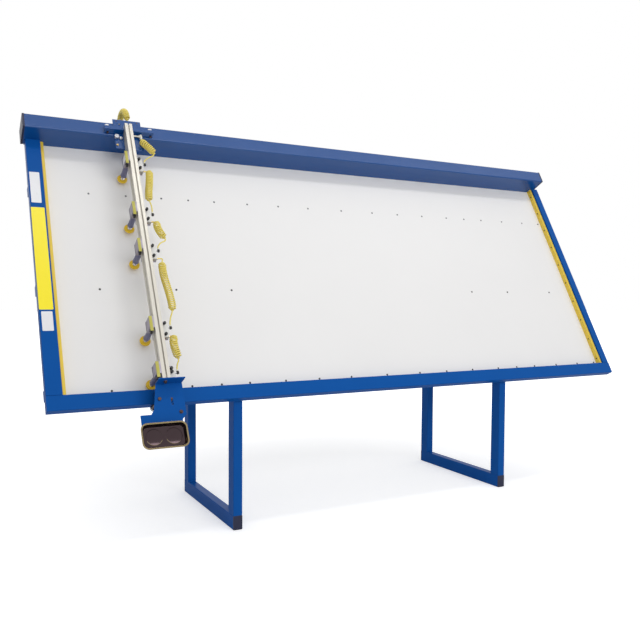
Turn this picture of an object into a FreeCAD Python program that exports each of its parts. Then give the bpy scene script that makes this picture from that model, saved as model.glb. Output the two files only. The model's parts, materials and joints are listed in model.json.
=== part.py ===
import FreeCAD, Part
import math
import os

# Tilted clamping table for cabinet face frames, in millimetres, +Z up.
# Most pieces are drawn in table axes: x along the table from its left end,
# u up the slope from the lower front edge of the bottom rail, and n out of the
# front faces of the rails, towards the person who works at it.

V = FreeCAD.Vector

# Table frame
frame_width = 3760.0
slope_length = 1562.0
tilt_deg = 28.8
lower_edge_height = 715.0
rail_depth = 50.8
bottom_rail_face = 76.2
left_rail_face = 76.2
right_rail_face = 50.8
tube_corner = 4.0
cap_bevel = 2.5
panel_thickness = 6.4

# Track beam across the top
beam_face = 88.9
beam_proud = 101.6
beam_corner = 8.0
beam_overhang_left = 20.0
beam_short_right = 27.0
beam_cap_thickness = 11.0

# Members behind the panel
cross_face = 50.8
cross_depth = 25.4
stringer_depth = 50.8
low_cross_overlap = 4.6
middle_cross_share = 0.422
upper_cross_share = 0.805

# Leg frames
leg_face = 50.8
leg_depth = 76.2
runner_height = 76.2
base_past_panel = 87.5
leg_inset = 934.0
leg_setback = 64.0
cap_thickness = 6.0

# Fences on the two side rails
fence_width = 17.0
fence_height = 32.0
fence_bevel = 2.0

# Clamp beam: the slotted extrusion that carries the heads
carriage_x = 524.0
extrusion_face = 40.0
extrusion_depth = 60.0
extrusion_past_beam_foot = 41.0
slot_opening = 8.2
slot_lip = 4.5
slot_cavity_width = 17.0
slot_cavity_depth = 6.0
core_bore_radius = 4.0

# Carriage plates
bracket_gap = 1.0
plate_thickness = 4.8
upper_plate_left = 69.0
upper_plate_right = 87.0
upper_plate_drop = 92.0
upper_plate_rise = 23.0
wing_reach_left = 126.0
wing_reach_right = 146.0
wing_above_beam_foot = 11.0
wing_height = 21.0
wing_depth = 40.0
wing_gap = 1.0
lower_plate_left = 40.0
lower_plate_right = 89.0
lower_plate_length = 245.0
corner_cut_width = 23.0
corner_cut_height = 25.0
corner_cut_start = 100.0
waist_reach = 65.0
waist_length = 68.0
shoulder_reach = 81.0
shoulder_length = 91.0
tongue_reach = 132.0
flange_level = 61.0
flange_margin = 5.0
adjuster_slot_length = 39.0

# Rollers and axles
roller_radius = 16.0
roller_width = 18.0
roller_margin = 4.0
roller_seat = 0.3
top_roller_radius = 12.0
top_roller_inset = 20.0
face_roller_radius = 13.0
face_roller_width = 36.0
face_roller_left = 107.0
face_roller_right = 133.0
axle_radius = 5.0
slim_axle_radius = 4.0
axle_fit = 0.05
collar_radius = 8.0
slim_collar_radius = 6.5
collar_length = 2.5
nut_radius = 9.0
nut_height = 7.0
lower_roller_left = 32.0
lower_roller_pitch = 60.0

# Guide block behind the lower plate
guide_width = 96.0
guide_height = 40.0
guide_level = 18.0

# Parts tray on the lower plate
tray_width = 221.0
tray_height = 127.0
tray_depth = 25.0
tray_wall = 1.5
tray_corner = 32.0
tray_corner_steps = 4
tray_draft = 8.0
tray_rim = 6.0
tray_left = 39.0
tray_drop = 206.0
magnet_radius = 40.0
magnet_height = 12.0
magnet_sides = 24
magnet_spacing = 94.0
boss_height = 1.5

# Clamp heads
head_level_shares = (0.8688, 0.6569, 0.5115, 0.2234)
last_head_above_flange = 40.2
slide_clearance = 0.3
saddle_thickness = 9.7
saddle_above = 46.0
saddle_below = (54.0, 54.0, 54.0, 54.0, 38.0)
hold_down_offset = 24.0
block_left = 66.0
block_below = 14.0
block_proud = 3.0
strip_from_left = 20.0
strip_width = 16.0
strip_thickness = 3.0
strip_below = 34.0

# Hold-down cylinder, rod and pad of a head
bell_foot_level = 10.0
bell_waist_level = 75.0
bell_top_level = 100.0
bell_foot_radius = 22.0
bell_waist_radius = 15.5
bell_top_radius = 13.0
bell_rim = 6.0
bell_sides = 12
elbow_left = 34.0
elbow_level = 140.0
elbow_radius = 8.0
elbow_below = 36.0
workpiece_thickness = 19.0
pad_radius = 28.0
pad_thickness = 10.0
pad_bevel = 3.0
pad_sides = 16
rod_radius = 6.0
rod_length = 70.0
rod_fit = 0.05
rod_stroke_room = 20.0

# Valve and lock knobs of a head
valve_width = 36.0
valve_above = 28.0
valve_front = 135.4
valve_bevel = 2.0
port_level = 121.4
knob_offset = 15.0
knob_above = 16.0
knob_below = (43.0, 43.0, 43.0, 43.0, 2.0)
knob_radius = 8.0
knob_height = 15.0
knob_taper = 1.0
knob_sides = 8
stem_radius = 3.5
stem_length = 10.0

# Hose fittings of a head
inlet_above = 2.0
inlet_reach = 15.7
inlet_stem_radius = 4.0
inlet_radius = 7.0
inlet_drop = 6.0
inlet_rise = 16.0
outlet_below = 44.0
outlet_reach = 9.0
outlet_hex_radius = 6.0

# Air fittings on the upper plate
gauge_left = 60.0
gauge_drop = 17.0
gauge_radius = 12.5
gauge_height = 16.0
coupling_left = 37.0
coupling_drop = 24.0
coupling_radius = 9.0
coupling_height = 12.0
vent_left = 60.0
vent_drop = 70.0
vent_radius = 7.0
vent_height = 9.0
first_port_right = 74.0
first_port_top = 4.0
first_port_length = 30.0
first_port_radius = 8.0
supply_port_right = 20.0
supply_port_stand = 11.0
supply_port_rise = 10.0
fitting_radius = 6.0

# Hoses
hose_radius = 3.5
coil_radius = 17.0
hose_sides = 3
hose_turns = (4, 6, 3, 7, 3)
hose_coil_shares = (0.76, 0.9, 0.76, 0.9, 0.84)
hose_route_shares = (
    ((0.2, 0.7, 0.19), (2.6, 0.9, 0.44), (4.5, 0.9, 0.69), (0.8, 0.2, 0.83)),
    ((1.0, 0.1, 0), (1.0, 0.6, 0.1), (0.5, 0.9, 0.27), (-0.8, 0.9, 0.72), (0.1, 0.4, 0.88)),
    ((1.3, 0.1, 0), (1.1, 0.6, 0.19), (1.8, 0.9, 0.47), (3.5, 0.9, 0.75), (0.6, 0.4, 0.81)),
    (
        (1.0, 0.1, 0), (0.7, 0.6, 0.07), (0.2, 0.9, 0.27),
        (1.3, 0.9, 0.55), (1.6, 0.9, 0.79), (0.1, 0.3, 0.92),
    ),
    ((1.0, 0.1, 0), (0.6, 0.6, 0.14), (0.4, 0.9, 0.36), (1.2, 0.9, 0.75), (0.1, 0.4, 0.84)),
)
supply_hose_radius = 4.0
supply_coil_radius = 20.0
supply_turns = 6
supply_coil_share = 0.98
supply_rise = 120.0
supply_back = 240.0
supply_fall = 290.0
supply_droop = 320.0
plug_radius = 9.0
plug_length = 42.0
plug_nose_radius = 5.5
plug_nose_length = 20.0
steps_per_turn = 4
lead_turns = 2.0
straight_steps = 3
lead_diameters = 1.2
tangent_step_share = 0.0005
measure_step = 2.0

# Places worked out from the sizes above
tilt = math.radians(tilt_deg)
base_length = slope_length * math.sin(tilt) + base_past_panel
panel_front = panel_thickness - rail_depth
beam_top = slope_length + beam_face
cross_back = -rail_depth - cross_depth
stringer_back = cross_back - stringer_depth
low_cross = bottom_rail_face - low_cross_overlap + cross_face / 2
top_cross = slope_length + beam_face / 2
middle_cross = slope_length * middle_cross_share
upper_cross = slope_length * upper_cross_share
leg_places = (leg_inset, frame_width - leg_inset - leg_face)
far = frame_width + slope_length
plate_back = beam_proud + bracket_gap
plate_front = plate_back + plate_thickness
extrusion_front = plate_front + extrusion_depth
extrusion_left = carriage_x - extrusion_face / 2
extrusion_right = carriage_x + extrusion_face / 2
extrusion_top = slope_length + extrusion_past_beam_foot
flange_top = flange_level + plate_thickness
head_levels = [share * slope_length for share in head_level_shares]
head_levels.append(flange_top + last_head_above_flange)
head_x = carriage_x - hold_down_offset
saddle_front = plate_front - slide_clearance
saddle_back = saddle_front - saddle_thickness
valve_left = extrusion_right + slide_clearance
valve_right = valve_left + valve_width
knob_x = extrusion_right + knob_offset
knob_back = valve_front + stem_length
knob_front = knob_back + knob_height
inlet_x = valve_right + inlet_reach
pad_face = panel_front + workpiece_thickness
pad_back = pad_face + pad_thickness
top_roller_level = beam_top + top_roller_radius + roller_seat
lower_roller_level = -roller_radius - roller_seat
face_roller_level = beam_proud + face_roller_radius + roller_seat
top_roller_front = beam_proud - roller_margin
lower_roller_front = -roller_margin
wing_front = beam_proud + wing_gap + wing_depth
wing_low = slope_length + wing_above_beam_foot
wing_floor = wing_low + plate_thickness
face_roller_foot = wing_floor + collar_length + roller_seat
top_roller_places = (
    carriage_x - upper_plate_left + top_roller_inset,
    carriage_x + upper_plate_right - top_roller_inset,
)
face_roller_places = (carriage_x - face_roller_left, carriage_x + face_roller_right)
lower_roller_places = (
    carriage_x - lower_roller_left,
    carriage_x - lower_roller_left + lower_roller_pitch,
)
tray_x = carriage_x - tray_left
tray_back = plate_front + magnet_height
first_port_x = carriage_x + first_port_right
first_port_foot = slope_length + first_port_top - first_port_length
supply_port_x = carriage_x + supply_port_right
supply_port_n = plate_back - supply_port_stand
supply_port_u = beam_top + upper_plate_rise - fitting_radius

table_placement = FreeCAD.Placement(
    V(0, 0, lower_edge_height), FreeCAD.Rotation(V(1, 0, 0), -tilt_deg)
)


def on_table(shape):
    """Move a shape from table axes to the floor's axes."""
    copy = shape.copy()
    copy.Placement = table_placement.multiply(copy.Placement)
    return copy


def table_point(x, n, u):
    return V(x, -n, u)


def table_box(x0, x1, n0, n1, u0, u1):
    return Part.makeBox(x1 - x0, n1 - n0, u1 - u0, table_point(x0, n1, u0))


def rod_out(x, u, n0, n1, radius):
    """A round bar square to the panel."""
    return Part.makeCylinder(radius, n1 - n0, table_point(x, n1, u), V(0, 1, 0))


def rod_up(x, n, u0, u1, radius):
    """A round bar along the slope."""
    return Part.makeCylinder(radius, u1 - u0, table_point(x, n, u0), V(0, 0, 1))


def edges_along(shape, axis):
    """The straight edges that run along an axis."""
    found = []
    for edge in shape.Edges:
        run = edge.Vertexes[-1].Point.sub(edge.Vertexes[0].Point)
        if run.Length > 0 and run.cross(axis).Length < edge.Length / far:
            found.append(edge)
    return found


def rounded(shape, axis, radius):
    return shape.makeFillet(radius, edges_along(shape, axis))


def plate(points, n0, n1):
    """A flat plate parallel to the panel, from its outline in x and u."""
    corners = [table_point(x, n1, u) for x, u in points]
    return Part.Face(closed(corners)).extrude(V(0, n1 - n0, 0))


def ring(centre, first, second, radius, sides):
    """The corners of a regular polygon."""
    corners = []
    for side in range(sides):
        turn = 2 * math.pi * side / sides
        corners.append(centre + first * (radius * math.cos(turn)) + second * (radius * math.sin(turn)))
    return corners


def closed(corners):
    return Part.makePolygon(corners + corners[:1])


def stack(rings):
    """A closed solid with flat faces through rings that have as many corners each."""
    faces = [Part.Face(closed(rings[0])), Part.Face(closed(rings[-1]))]
    for low, high in zip(rings, rings[1:]):
        for i in range(len(low)):
            j = (i + 1) % len(low)
            faces.append(Part.Face(closed([low[i], low[j], high[j], high[i]])))
    return Part.Solid(Part.Shell(faces))


def ring_out(x, u, n, radius, sides):
    """A polygon parallel to the panel."""
    return ring(table_point(x, n, u), V(1, 0, 0), V(0, 0, 1), radius, sides)


def prism_out(x, u, n0, n1, radius, sides):
    """A bar with flat sides, square to the panel."""
    return Part.Face(closed(ring_out(x, u, n1, radius, sides))).extrude(V(0, n1 - n0, 0))


def prism_up(x, n, u0, u1, radius, sides):
    """A bar with flat sides, along the slope."""
    outline = ring(table_point(x, n, u0), V(1, 0, 0), V(0, 1, 0), radius, sides)
    return Part.Face(closed(outline)).extrude(V(0, 0, u1 - u0))


def prism_across(x0, x1, u, n, radius):
    """A hexagonal bar along the table."""
    outline = ring(table_point(x0, n, u), V(0, 1, 0), V(0, 0, 1), radius, 6)
    return Part.Face(closed(outline)).extrude(V(x1 - x0, 0, 0))


def bevelled(shape, axis, size):
    return shape.makeChamfer(size, edges_along(shape, axis))


# Leg frames

def leg_box(x, y0, y1, z0, z1):
    return rounded(Part.makeBox(leg_face, y1 - y0, z1 - z0, V(x, y0, z0)), V(0, 0, 1), tube_corner)


def front_leg(x):
    """Stands on the runner and ends on the back of the frame, notched for the low cross member."""
    leg = leg_box(x, leg_setback, leg_setback + leg_depth, runner_height, far)
    above = table_box(-far, far, -rail_depth, far, -far, far)
    notch = cross_member(low_cross)
    return leg.cut(on_table(above)).cut(on_table(notch))


def rear_leg(x):
    """Stands on the runner and ends on the back of the stringer."""
    rear = leg_setback + base_length
    leg = leg_box(x, rear - leg_depth, rear, runner_height, far)
    return leg.cut(on_table(table_box(-far, far, stringer_back, far, -far, far)))


def runner(x):
    length = base_length - 2 * cap_thickness
    bar = Part.makeBox(leg_face, length, runner_height, V(x, leg_setback + cap_thickness, 0))
    return rounded(bar, V(0, 1, 0), tube_corner)


def runner_caps():
    """Plastic end caps that close the runners, flush with the legs."""
    caps = []
    for x in leg_places:
        for y in (leg_setback, leg_setback + base_length - cap_thickness):
            cap = Part.makeBox(leg_face, cap_thickness, runner_height, V(x, y, 0))
            caps.append(bevelled(cap, V(0, 1, 0), cap_bevel))
    return Part.makeCompound(caps)


def stringers():
    """Two tubes up the slope behind the cross members, cut where they meet the front legs."""
    bars = []
    for x in leg_places:
        bar = table_box(x, x + leg_face, stringer_back, cross_back, 0, beam_top)
        in_front = Part.makeBox(far, leg_setback + leg_depth + far, far + far, V(0, -far, -far))
        bars.append(on_table(bar).cut(in_front))
    return Part.makeCompound(bars)


# Table frame

def cross_member(level):
    half = cross_face / 2
    return table_box(0, frame_width, cross_back, -rail_depth, level - half, level + half)


def cross_members():
    levels = (low_cross, middle_cross, upper_cross, top_cross)
    return Part.makeCompound([cross_member(level) for level in levels])


def bottom_rail():
    rail = table_box(0, frame_width, -rail_depth, 0, 0, bottom_rail_face)
    return rounded(rail, V(1, 0, 0), tube_corner)


def side_rail(x0, x1):
    rail = table_box(x0, x1, -rail_depth, 0, bottom_rail_face, slope_length)
    return rounded(rail, V(0, 0, 1), tube_corner)


def top_beam():
    left = beam_cap_thickness - beam_overhang_left
    right = frame_width - beam_short_right - beam_cap_thickness
    beam = table_box(left, right, -rail_depth, beam_proud, slope_length, beam_top)
    return rounded(beam, V(1, 0, 0), beam_corner)


def beam_caps():
    caps = []
    for x in (-beam_overhang_left, frame_width - beam_short_right - beam_cap_thickness):
        cap = table_box(x, x + beam_cap_thickness, -rail_depth, beam_proud, slope_length, beam_top)
        caps.append(bevelled(cap, V(1, 0, 0), cap_bevel))
    return Part.makeCompound(caps)


def panel():
    right = frame_width - right_rail_face
    return table_box(left_rail_face, right, -rail_depth, panel_front, bottom_rail_face, slope_length)


def fence(x0):
    """A plastic bar against a side rail, bevelled along its front edges."""
    high = panel_front + fence_height
    bar = table_box(x0, x0 + fence_width, panel_front, high, bottom_rail_face, slope_length)
    middle = fence_height / 2 - high
    front = [edge for edge in edges_along(bar, V(0, 0, 1)) if edge.CenterOfMass.y < middle]
    return bar.makeChamfer(fence_bevel, front)


# Carriage

def extrusion():
    """Slotted aluminium profile with a slot along each face and a bore through its core."""
    bar = table_box(extrusion_left, extrusion_right, plate_front, extrusion_front, flange_top, extrusion_top)
    middle = (plate_front + extrusion_front) / 2
    deep = slot_lip + slot_cavity_depth
    for half_width, start in ((slot_opening / 2, 0), (slot_cavity_width / 2, slot_lip)):
        across = (carriage_x - half_width, carriage_x + half_width)
        along = (middle - half_width, middle + half_width)
        cuts = (
            table_box(*across, extrusion_front - deep, extrusion_front - start, flange_top, extrusion_top),
            table_box(*across, plate_front + start, plate_front + deep, flange_top, extrusion_top),
            table_box(extrusion_left + start, extrusion_left + deep, *along, flange_top, extrusion_top),
            table_box(extrusion_right - deep, extrusion_right - start, *along, flange_top, extrusion_top),
        )
        for cut in cuts:
            bar = bar.cut(cut)
    return bar.cut(rod_up(carriage_x, middle, flange_top, extrusion_top, core_bore_radius))


def wing(x0, x1):
    """An angle in front of the beam: a floor for a face roller, and a lip in front of it."""
    floor = table_box(x0, x1, plate_back, wing_front, wing_low, wing_floor)
    lip_back = wing_front - plate_thickness
    return floor.fuse(table_box(x0, x1, lip_back, wing_front, wing_low, wing_low + wing_height))


def upper_bracket():
    """Plate in front of the track beam, with the studs of two rollers and an angle on each side."""
    low = slope_length - upper_plate_drop
    high = beam_top + upper_plate_rise
    left = carriage_x - upper_plate_left
    right = carriage_x + upper_plate_right
    bracket = table_box(left, right, plate_back, plate_front, low, high)
    bracket = bracket.fuse(wing(carriage_x - wing_reach_left, extrusion_left - wing_gap))
    bracket = bracket.fuse(wing(extrusion_right + wing_gap, carriage_x + wing_reach_right))
    for x in top_roller_places:
        bracket = bracket.cut(rod_out(x, top_roller_level, plate_back, plate_front, slim_axle_radius))
    for x in face_roller_places:
        bracket = bracket.cut(rod_up(x, face_roller_level, wing_low, wing_floor, slim_axle_radius))
    return bracket.removeSplitter()


def lower_bracket():
    """Plate in front of the bottom rail, folded out into a shelf under the clamp beam."""
    left = carriage_x - lower_plate_left
    right = carriage_x + lower_plate_right
    foot = -lower_plate_length
    outline = (
        (left, flange_top),
        (right, flange_top),
        (right, -corner_cut_start),
        (right - corner_cut_width, -corner_cut_start - corner_cut_height),
        (right - corner_cut_width, foot),
        (carriage_x - tongue_reach, foot),
        (carriage_x - tongue_reach, -shoulder_length),
        (carriage_x - shoulder_reach, -shoulder_length),
        (carriage_x - waist_reach, -waist_length),
    )
    bracket = plate(outline, plate_back, plate_front)
    shelf = table_box(left, right, plate_front, extrusion_front + flange_margin, flange_level, flange_top)
    bracket = bracket.fuse(shelf)
    first, second = lower_roller_places
    slot_low = lower_roller_level + axle_radius - adjuster_slot_length
    slot_left = second - axle_radius
    slot_right = second + axle_radius
    slot = table_box(slot_left, slot_right, plate_back, plate_front, slot_low, lower_roller_level)
    holes = (
        slot,
        rod_out(second, lower_roller_level, plate_back, plate_front, axle_radius),
        rod_out(first, lower_roller_level, plate_back, plate_front, axle_radius),
    )
    for hole in holes:
        bracket = bracket.cut(hole)
    return bracket.removeSplitter()


def guide_block():
    """Slippery block on the lower plate that rides on the face of the bottom rail."""
    middle = carriage_x + (lower_plate_right - lower_plate_left) / 2
    block = table_box(
        middle - guide_width / 2, middle + guide_width / 2,
        roller_seat, plate_back, guide_level, guide_level + guide_height,
    )
    return bevelled(block, V(0, 1, 0), cap_bevel)


def roller(x, u, front, radius, hole):
    """Track roller with its axis square to the panel, bored for its axle."""
    back = front - roller_width
    bore = rod_out(x, u, back, front, hole + axle_fit)
    return rod_out(x, u, back, front, radius).cut(bore)


def face_roller(x):
    """Roller that stands on a wing and rolls on the front of the track beam."""
    high = face_roller_foot + face_roller_width
    bore = rod_up(x, face_roller_level, face_roller_foot, high, slim_axle_radius + axle_fit)
    return rod_up(x, face_roller_level, face_roller_foot, high, face_roller_radius).cut(bore)


def axle(x, u, roller_front, radius, collar):
    """Bolt through a roller, with its head behind it and a hexagonal spacer up to the plate."""
    roller_back = roller_front - roller_width
    keeper = roller_back - roller_seat
    bolt = rod_out(x, u, keeper, plate_front, radius)
    head = prism_out(x, u, keeper - collar_length, keeper, collar, 6)
    spacer = prism_out(x, u, roller_front + roller_seat, plate_back, collar, 6)
    return bolt.fuse(head).fuse(spacer)


def face_axle(x):
    """Bolt down through a face roller and the floor of its wing."""
    top = face_roller_foot + face_roller_width + roller_seat
    bolt = rod_up(x, face_roller_level, wing_low, top, slim_axle_radius)
    head = prism_up(x, face_roller_level, top, top + collar_length, slim_collar_radius, 6)
    spacer_top = wing_floor + collar_length
    spacer = prism_up(x, face_roller_level, wing_floor, spacer_top, slim_collar_radius, 6)
    nut = prism_up(x, face_roller_level, wing_low - nut_height, wing_low, slim_collar_radius, 6)
    return bolt.fuse(head).fuse(spacer).fuse(nut)


def axles():
    """The bolts that the six rollers turn on. The adjustable one is clamped in its slot."""
    bolts = []
    for x in top_roller_places:
        bolts.append(axle(x, top_roller_level, top_roller_front, slim_axle_radius, slim_collar_radius))
    for x in face_roller_places:
        bolts.append(face_axle(x))
    first, second = lower_roller_places
    nut = prism_out(first, lower_roller_level, plate_front, plate_front + nut_height, nut_radius, 6)
    fixed = axle(first, lower_roller_level, lower_roller_front, axle_radius, collar_radius)
    bolts.append(fixed.fuse(nut))
    bolts.append(axle(second, lower_roller_level, lower_roller_front, axle_radius, collar_radius))
    return Part.makeCompound(bolts)


def tray_ring(width, height, corner, n):
    """The corners of a rounded rectangle parallel to the panel, centred on the tray."""
    half_x = width / 2 - corner
    half_u = height / 2 - corner
    corners = []
    for quarter, (side_x, side_u) in enumerate(((1, 1), (-1, 1), (-1, -1), (1, -1))):
        for step in range(tray_corner_steps + 1):
            turn = math.pi / 2 * (quarter + step / tray_corner_steps)
            x = tray_x + side_x * half_x + corner * math.cos(turn)
            corners.append(table_point(x, n, side_u * half_u + corner * math.sin(turn) - tray_drop))
    return corners


def tray_level(inset, n):
    """The tray's outline drawn in by an inset."""
    return tray_ring(tray_width - 2 * inset, tray_height - 2 * inset, tray_corner - inset, n)


def parts_tray():
    """Pressed dish with a flat rim, on two magnets, each under a round boss of its floor."""
    front = tray_back + tray_depth
    foot = tray_rim + tray_draft
    outer = stack([tray_level(foot, tray_back), tray_level(tray_rim, front)])
    rim = stack([tray_level(0, front - tray_wall), tray_level(0, front)])
    floor = tray_level(foot + tray_wall, tray_back + tray_wall)
    inner = stack([floor, tray_level(tray_rim + tray_wall, front)])
    tray = outer.fuse(rim).cut(inner)
    for side in (-1, 1):
        x = tray_x + side * magnet_spacing / 2
        boss_front = tray_back + tray_wall + boss_height
        boss_radius = magnet_radius - tray_wall
        tray = tray.fuse(prism_out(x, -tray_drop, plate_front, tray_back, magnet_radius, magnet_sides))
        tray = tray.fuse(prism_out(x, -tray_drop, tray_back, boss_front, boss_radius, magnet_sides))
    return tray.removeSplitter()


def pressure_gauge():
    x = carriage_x - gauge_left
    u = slope_length - gauge_drop
    return rod_out(x, u, plate_front, plate_front + gauge_height, gauge_radius)


def air_fittings():
    """Coupling and vent on the left of the upper plate, ports for the two hoses on its right."""
    left = (
        (coupling_left, coupling_drop, coupling_radius, coupling_height),
        (vent_left, vent_drop, vent_radius, vent_height),
    )
    fittings = []
    for offset, drop, radius, height in left:
        x = carriage_x - offset
        fittings.append(prism_out(x, slope_length - drop, plate_front, plate_front + height, radius, 6))
    boss_u = slope_length - fitting_radius
    boss = prism_out(first_port_x, boss_u, plate_front, port_level, fitting_radius, 6)
    top = slope_length + first_port_top
    body = prism_up(first_port_x, port_level, first_port_foot, top, first_port_radius, 8)
    fittings.append(boss.fuse(body))
    stem_back = supply_port_n - fitting_radius
    stem = prism_out(supply_port_x, supply_port_u, stem_back, plate_back, fitting_radius, 6)
    high = supply_port_u + supply_port_rise
    elbow = prism_up(supply_port_x, supply_port_n, supply_port_u, high, fitting_radius, 6)
    fittings.append(stem.fuse(elbow))
    return Part.makeCompound(fittings)


# Clamp heads

def hold_down_bell(level):
    """Tapered housing of the hold-down cylinder, widest above the pad."""
    levels = (
        (bell_foot_level, bell_foot_radius),
        (bell_foot_level + bell_rim, bell_foot_radius),
        (bell_waist_level, bell_waist_radius),
        (bell_top_level, bell_top_radius),
    )
    return stack([ring_out(head_x, level, n, radius, bell_sides) for n, radius in levels])


def valve(low, high):
    """Body of the air valve on the right of a head."""
    body = table_box(valve_left, valve_right, saddle_back, valve_front, low, high)
    front_right = []
    for edge in edges_along(body, V(0, 0, 1)):
        middle = edge.CenterOfMass
        if middle.x > knob_x and middle.y < -port_level:
            front_right.append(edge)
    return body.makeChamfer(valve_bevel, front_right)


def head(level, below):
    """One head: saddle behind the extrusion, clamp block on its left and valve on its right."""
    low = level - below
    high = level + saddle_above
    block_right = extrusion_left - slide_clearance
    block_low = level - block_below
    left = carriage_x - block_left
    front = extrusion_front + block_proud
    saddle = table_box(left, valve_right, saddle_back, saddle_front, low, high)
    block = table_box(left, block_right, saddle_back, front, block_low, high)
    strip_left = left + strip_from_left
    strip_right = strip_left + strip_width
    strip_front = front + strip_thickness
    strip = table_box(strip_left, strip_right, front, strip_front, level - strip_below, high)
    elbow_x = carriage_x - elbow_left
    elbow = prism_up(elbow_x, elbow_level, level - elbow_below, block_low, elbow_radius, 6)
    body = saddle.fuse(block).fuse(hold_down_bell(level)).fuse(valve(low, level + valve_above))
    body = body.fuse(elbow).fuse(strip)
    bore_end = pad_back + rod_length + rod_stroke_room
    bore = rod_out(head_x, level, bell_foot_level, bore_end, rod_radius + rod_fit)
    return body.cut(bore).removeSplitter()


def pad(level):
    """Hold-down rod with its round pad, pressed on the work."""
    levels = (
        (pad_face, pad_radius - pad_bevel),
        (pad_face + pad_bevel, pad_radius),
        (pad_back, pad_radius),
    )
    disc = stack([ring_out(head_x, level, n, radius, pad_sides) for n, radius in levels])
    return disc.fuse(rod_out(head_x, level, pad_back, pad_back + rod_length, rod_radius))


def lock_knob(u):
    """Knob with flat sides, narrower towards its face, on a stem that stands on the valve."""
    back = ring_out(knob_x, u, knob_back, knob_radius, knob_sides)
    front = ring_out(knob_x, u, knob_front, knob_radius - knob_taper, knob_sides)
    stem = prism_out(knob_x, u, valve_front + slide_clearance, knob_back, stem_radius, 6)
    return stack([back, front]).fuse(stem)


def hose_fittings(level, passes_air):
    """Elbow that a head's own hose comes down into, and the outlet for the hose of the next head."""
    u = level + inlet_above
    low = u - inlet_drop
    high = u + inlet_rise
    stem = prism_across(valve_right, inlet_x, u, port_level, inlet_stem_radius)
    fittings = [stem.fuse(prism_up(inlet_x, port_level, low, high, inlet_radius, 8))]
    if passes_air:
        foot = level - outlet_below
        end = valve_right + outlet_reach
        fittings.append(prism_across(valve_right, end, foot, port_level, outlet_hex_radius))
    return Part.makeCompound(fittings)


# Hoses

def unit(vector):
    return vector * (1 / vector.Length)


def smooth(t):
    return t * t * (3 - 2 * t)


def heading_of(curve, t):
    ahead = curve(min(t + tangent_step_share, 1))
    return unit(ahead.sub(curve(max(t - tangent_step_share, 0))))


def coil_round(axis, turns, share, radius, reference):
    """A coil that winds round the first share of a curved axis and closes in on it at both ends."""
    def curve(t):
        along = heading_of(axis, t)
        first = unit(reference.sub(along * reference.dot(along)))
        second = along.cross(first)
        wound = min(t / share, 1) * turns
        reach = radius * smooth(min(wound / lead_turns, (turns - wound) / lead_turns, 1))
        turn = 2 * math.pi * wound
        return axis(t) + first * (reach * math.cos(turn)) + second * (reach * math.sin(turn))
    return curve


def arc(start, heading, end):
    """The arc that leaves a point with a heading and ends at another point."""
    chord = end.sub(start)
    across = heading.sub(chord * (heading.dot(chord) / chord.dot(chord)))
    if across.Length < tangent_step_share:
        return Part.LineSegment(start, end).toShape()
    rise = chord.Length / 2 * math.tan(heading.getAngle(chord) / 2)
    return Part.Arc(start, start + chord * 0.5 + unit(across) * rise, end).toShape()


def biarc(start, heading, end, leaving):
    """Two arcs that join two points and keep their headings."""
    run = end.sub(start)
    both = run.dot(heading + leaving)
    spread = 2 * (1 - heading.dot(leaving))
    reach = (math.sqrt(both * both + spread * run.dot(run)) - both) / spread
    middle = (start + end + (heading - leaving) * reach) * 0.5
    chord = unit(middle.sub(start))
    turned = chord * (2 * heading.dot(chord)) - heading
    return [arc(start, heading, middle), arc(middle, turned, end)]


def along(route):
    """A smooth line that the points of a route pull towards them, followed at a steady pace."""
    spans = len(route) - 2
    line = Part.BSplineCurve()
    ends = [3] + [1] * (spans - 1) + [3]
    line.buildFromPolesMultsKnots(route, ends, [float(knot) for knot in range(spans + 1)], False, 2)
    length = line.length()
    return lambda t: line.value(line.parameterAtDistance(t * length, line.FirstParameter))


def coiled_path(start, route, end, turns, share, radius, reference):
    """Straight lead, coil and straight lead, as one smooth chain of arcs."""
    curve = coil_round(along(route), turns, share, radius, reference)
    wound = turns * steps_per_turn
    steps = [share * step / wound for step in range(wound)]
    steps += [share + (1 - share) * step / straight_steps for step in range(straight_steps + 1)]
    places = [curve(t) for t in steps]
    headings = [heading_of(curve, t) for t in steps]
    headings[0] = unit(places[0].sub(start))
    headings[-1] = unit(end.sub(places[-1]))
    edges = [Part.LineSegment(start, places[0]).toShape()]
    for step in range(len(places) - 1):
        edges += biarc(places[step], headings[step], places[step + 1], headings[step + 1])
    edges.append(Part.LineSegment(places[-1], end).toShape())
    return edges


def report_hose(name, edges, solid, radius, coil):
    """Print a hose's length, its least gap to itself and how true its volume is."""
    wire = Part.Wire(edges)
    length = wire.Length
    points = wire.discretize(Distance=measure_step)
    apart = int(math.pi * coil / measure_step)
    least = far
    for i, point in enumerate(points):
        for other in points[i + apart:]:
            least = min(least, point.distanceToPoint(other))
    bends = [edge.Curve.Radius for edge in edges if edge.Curve.TypeId == "Part::GeomCircle"]
    section = hose_sides * radius * radius * math.sin(2 * math.pi / hose_sides) / 2
    print(
        name, "length", round(length, 1), "least gap", round(least - 2 * radius, 2),
        "least bend", round(min(bends), 1), "volume ratio", round(solid.Volume / section / length, 4),
    )


def hose(name, start, route, end, turns, share, radius, coil, reference):
    """One unbroken tube with flat sides along a coiled path."""
    edges = coiled_path(start, route, end, turns, share, coil, reference)
    heading = unit(route[0].sub(start))
    first = unit(reference.sub(heading * reference.dot(heading)))
    section = closed(ring(start, first, heading.cross(first), radius, hose_sides))
    solid = Part.Wire(edges).makePipeShell([section], True, False)
    report_hose(name, edges, solid, radius, coil)
    return solid


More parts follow.
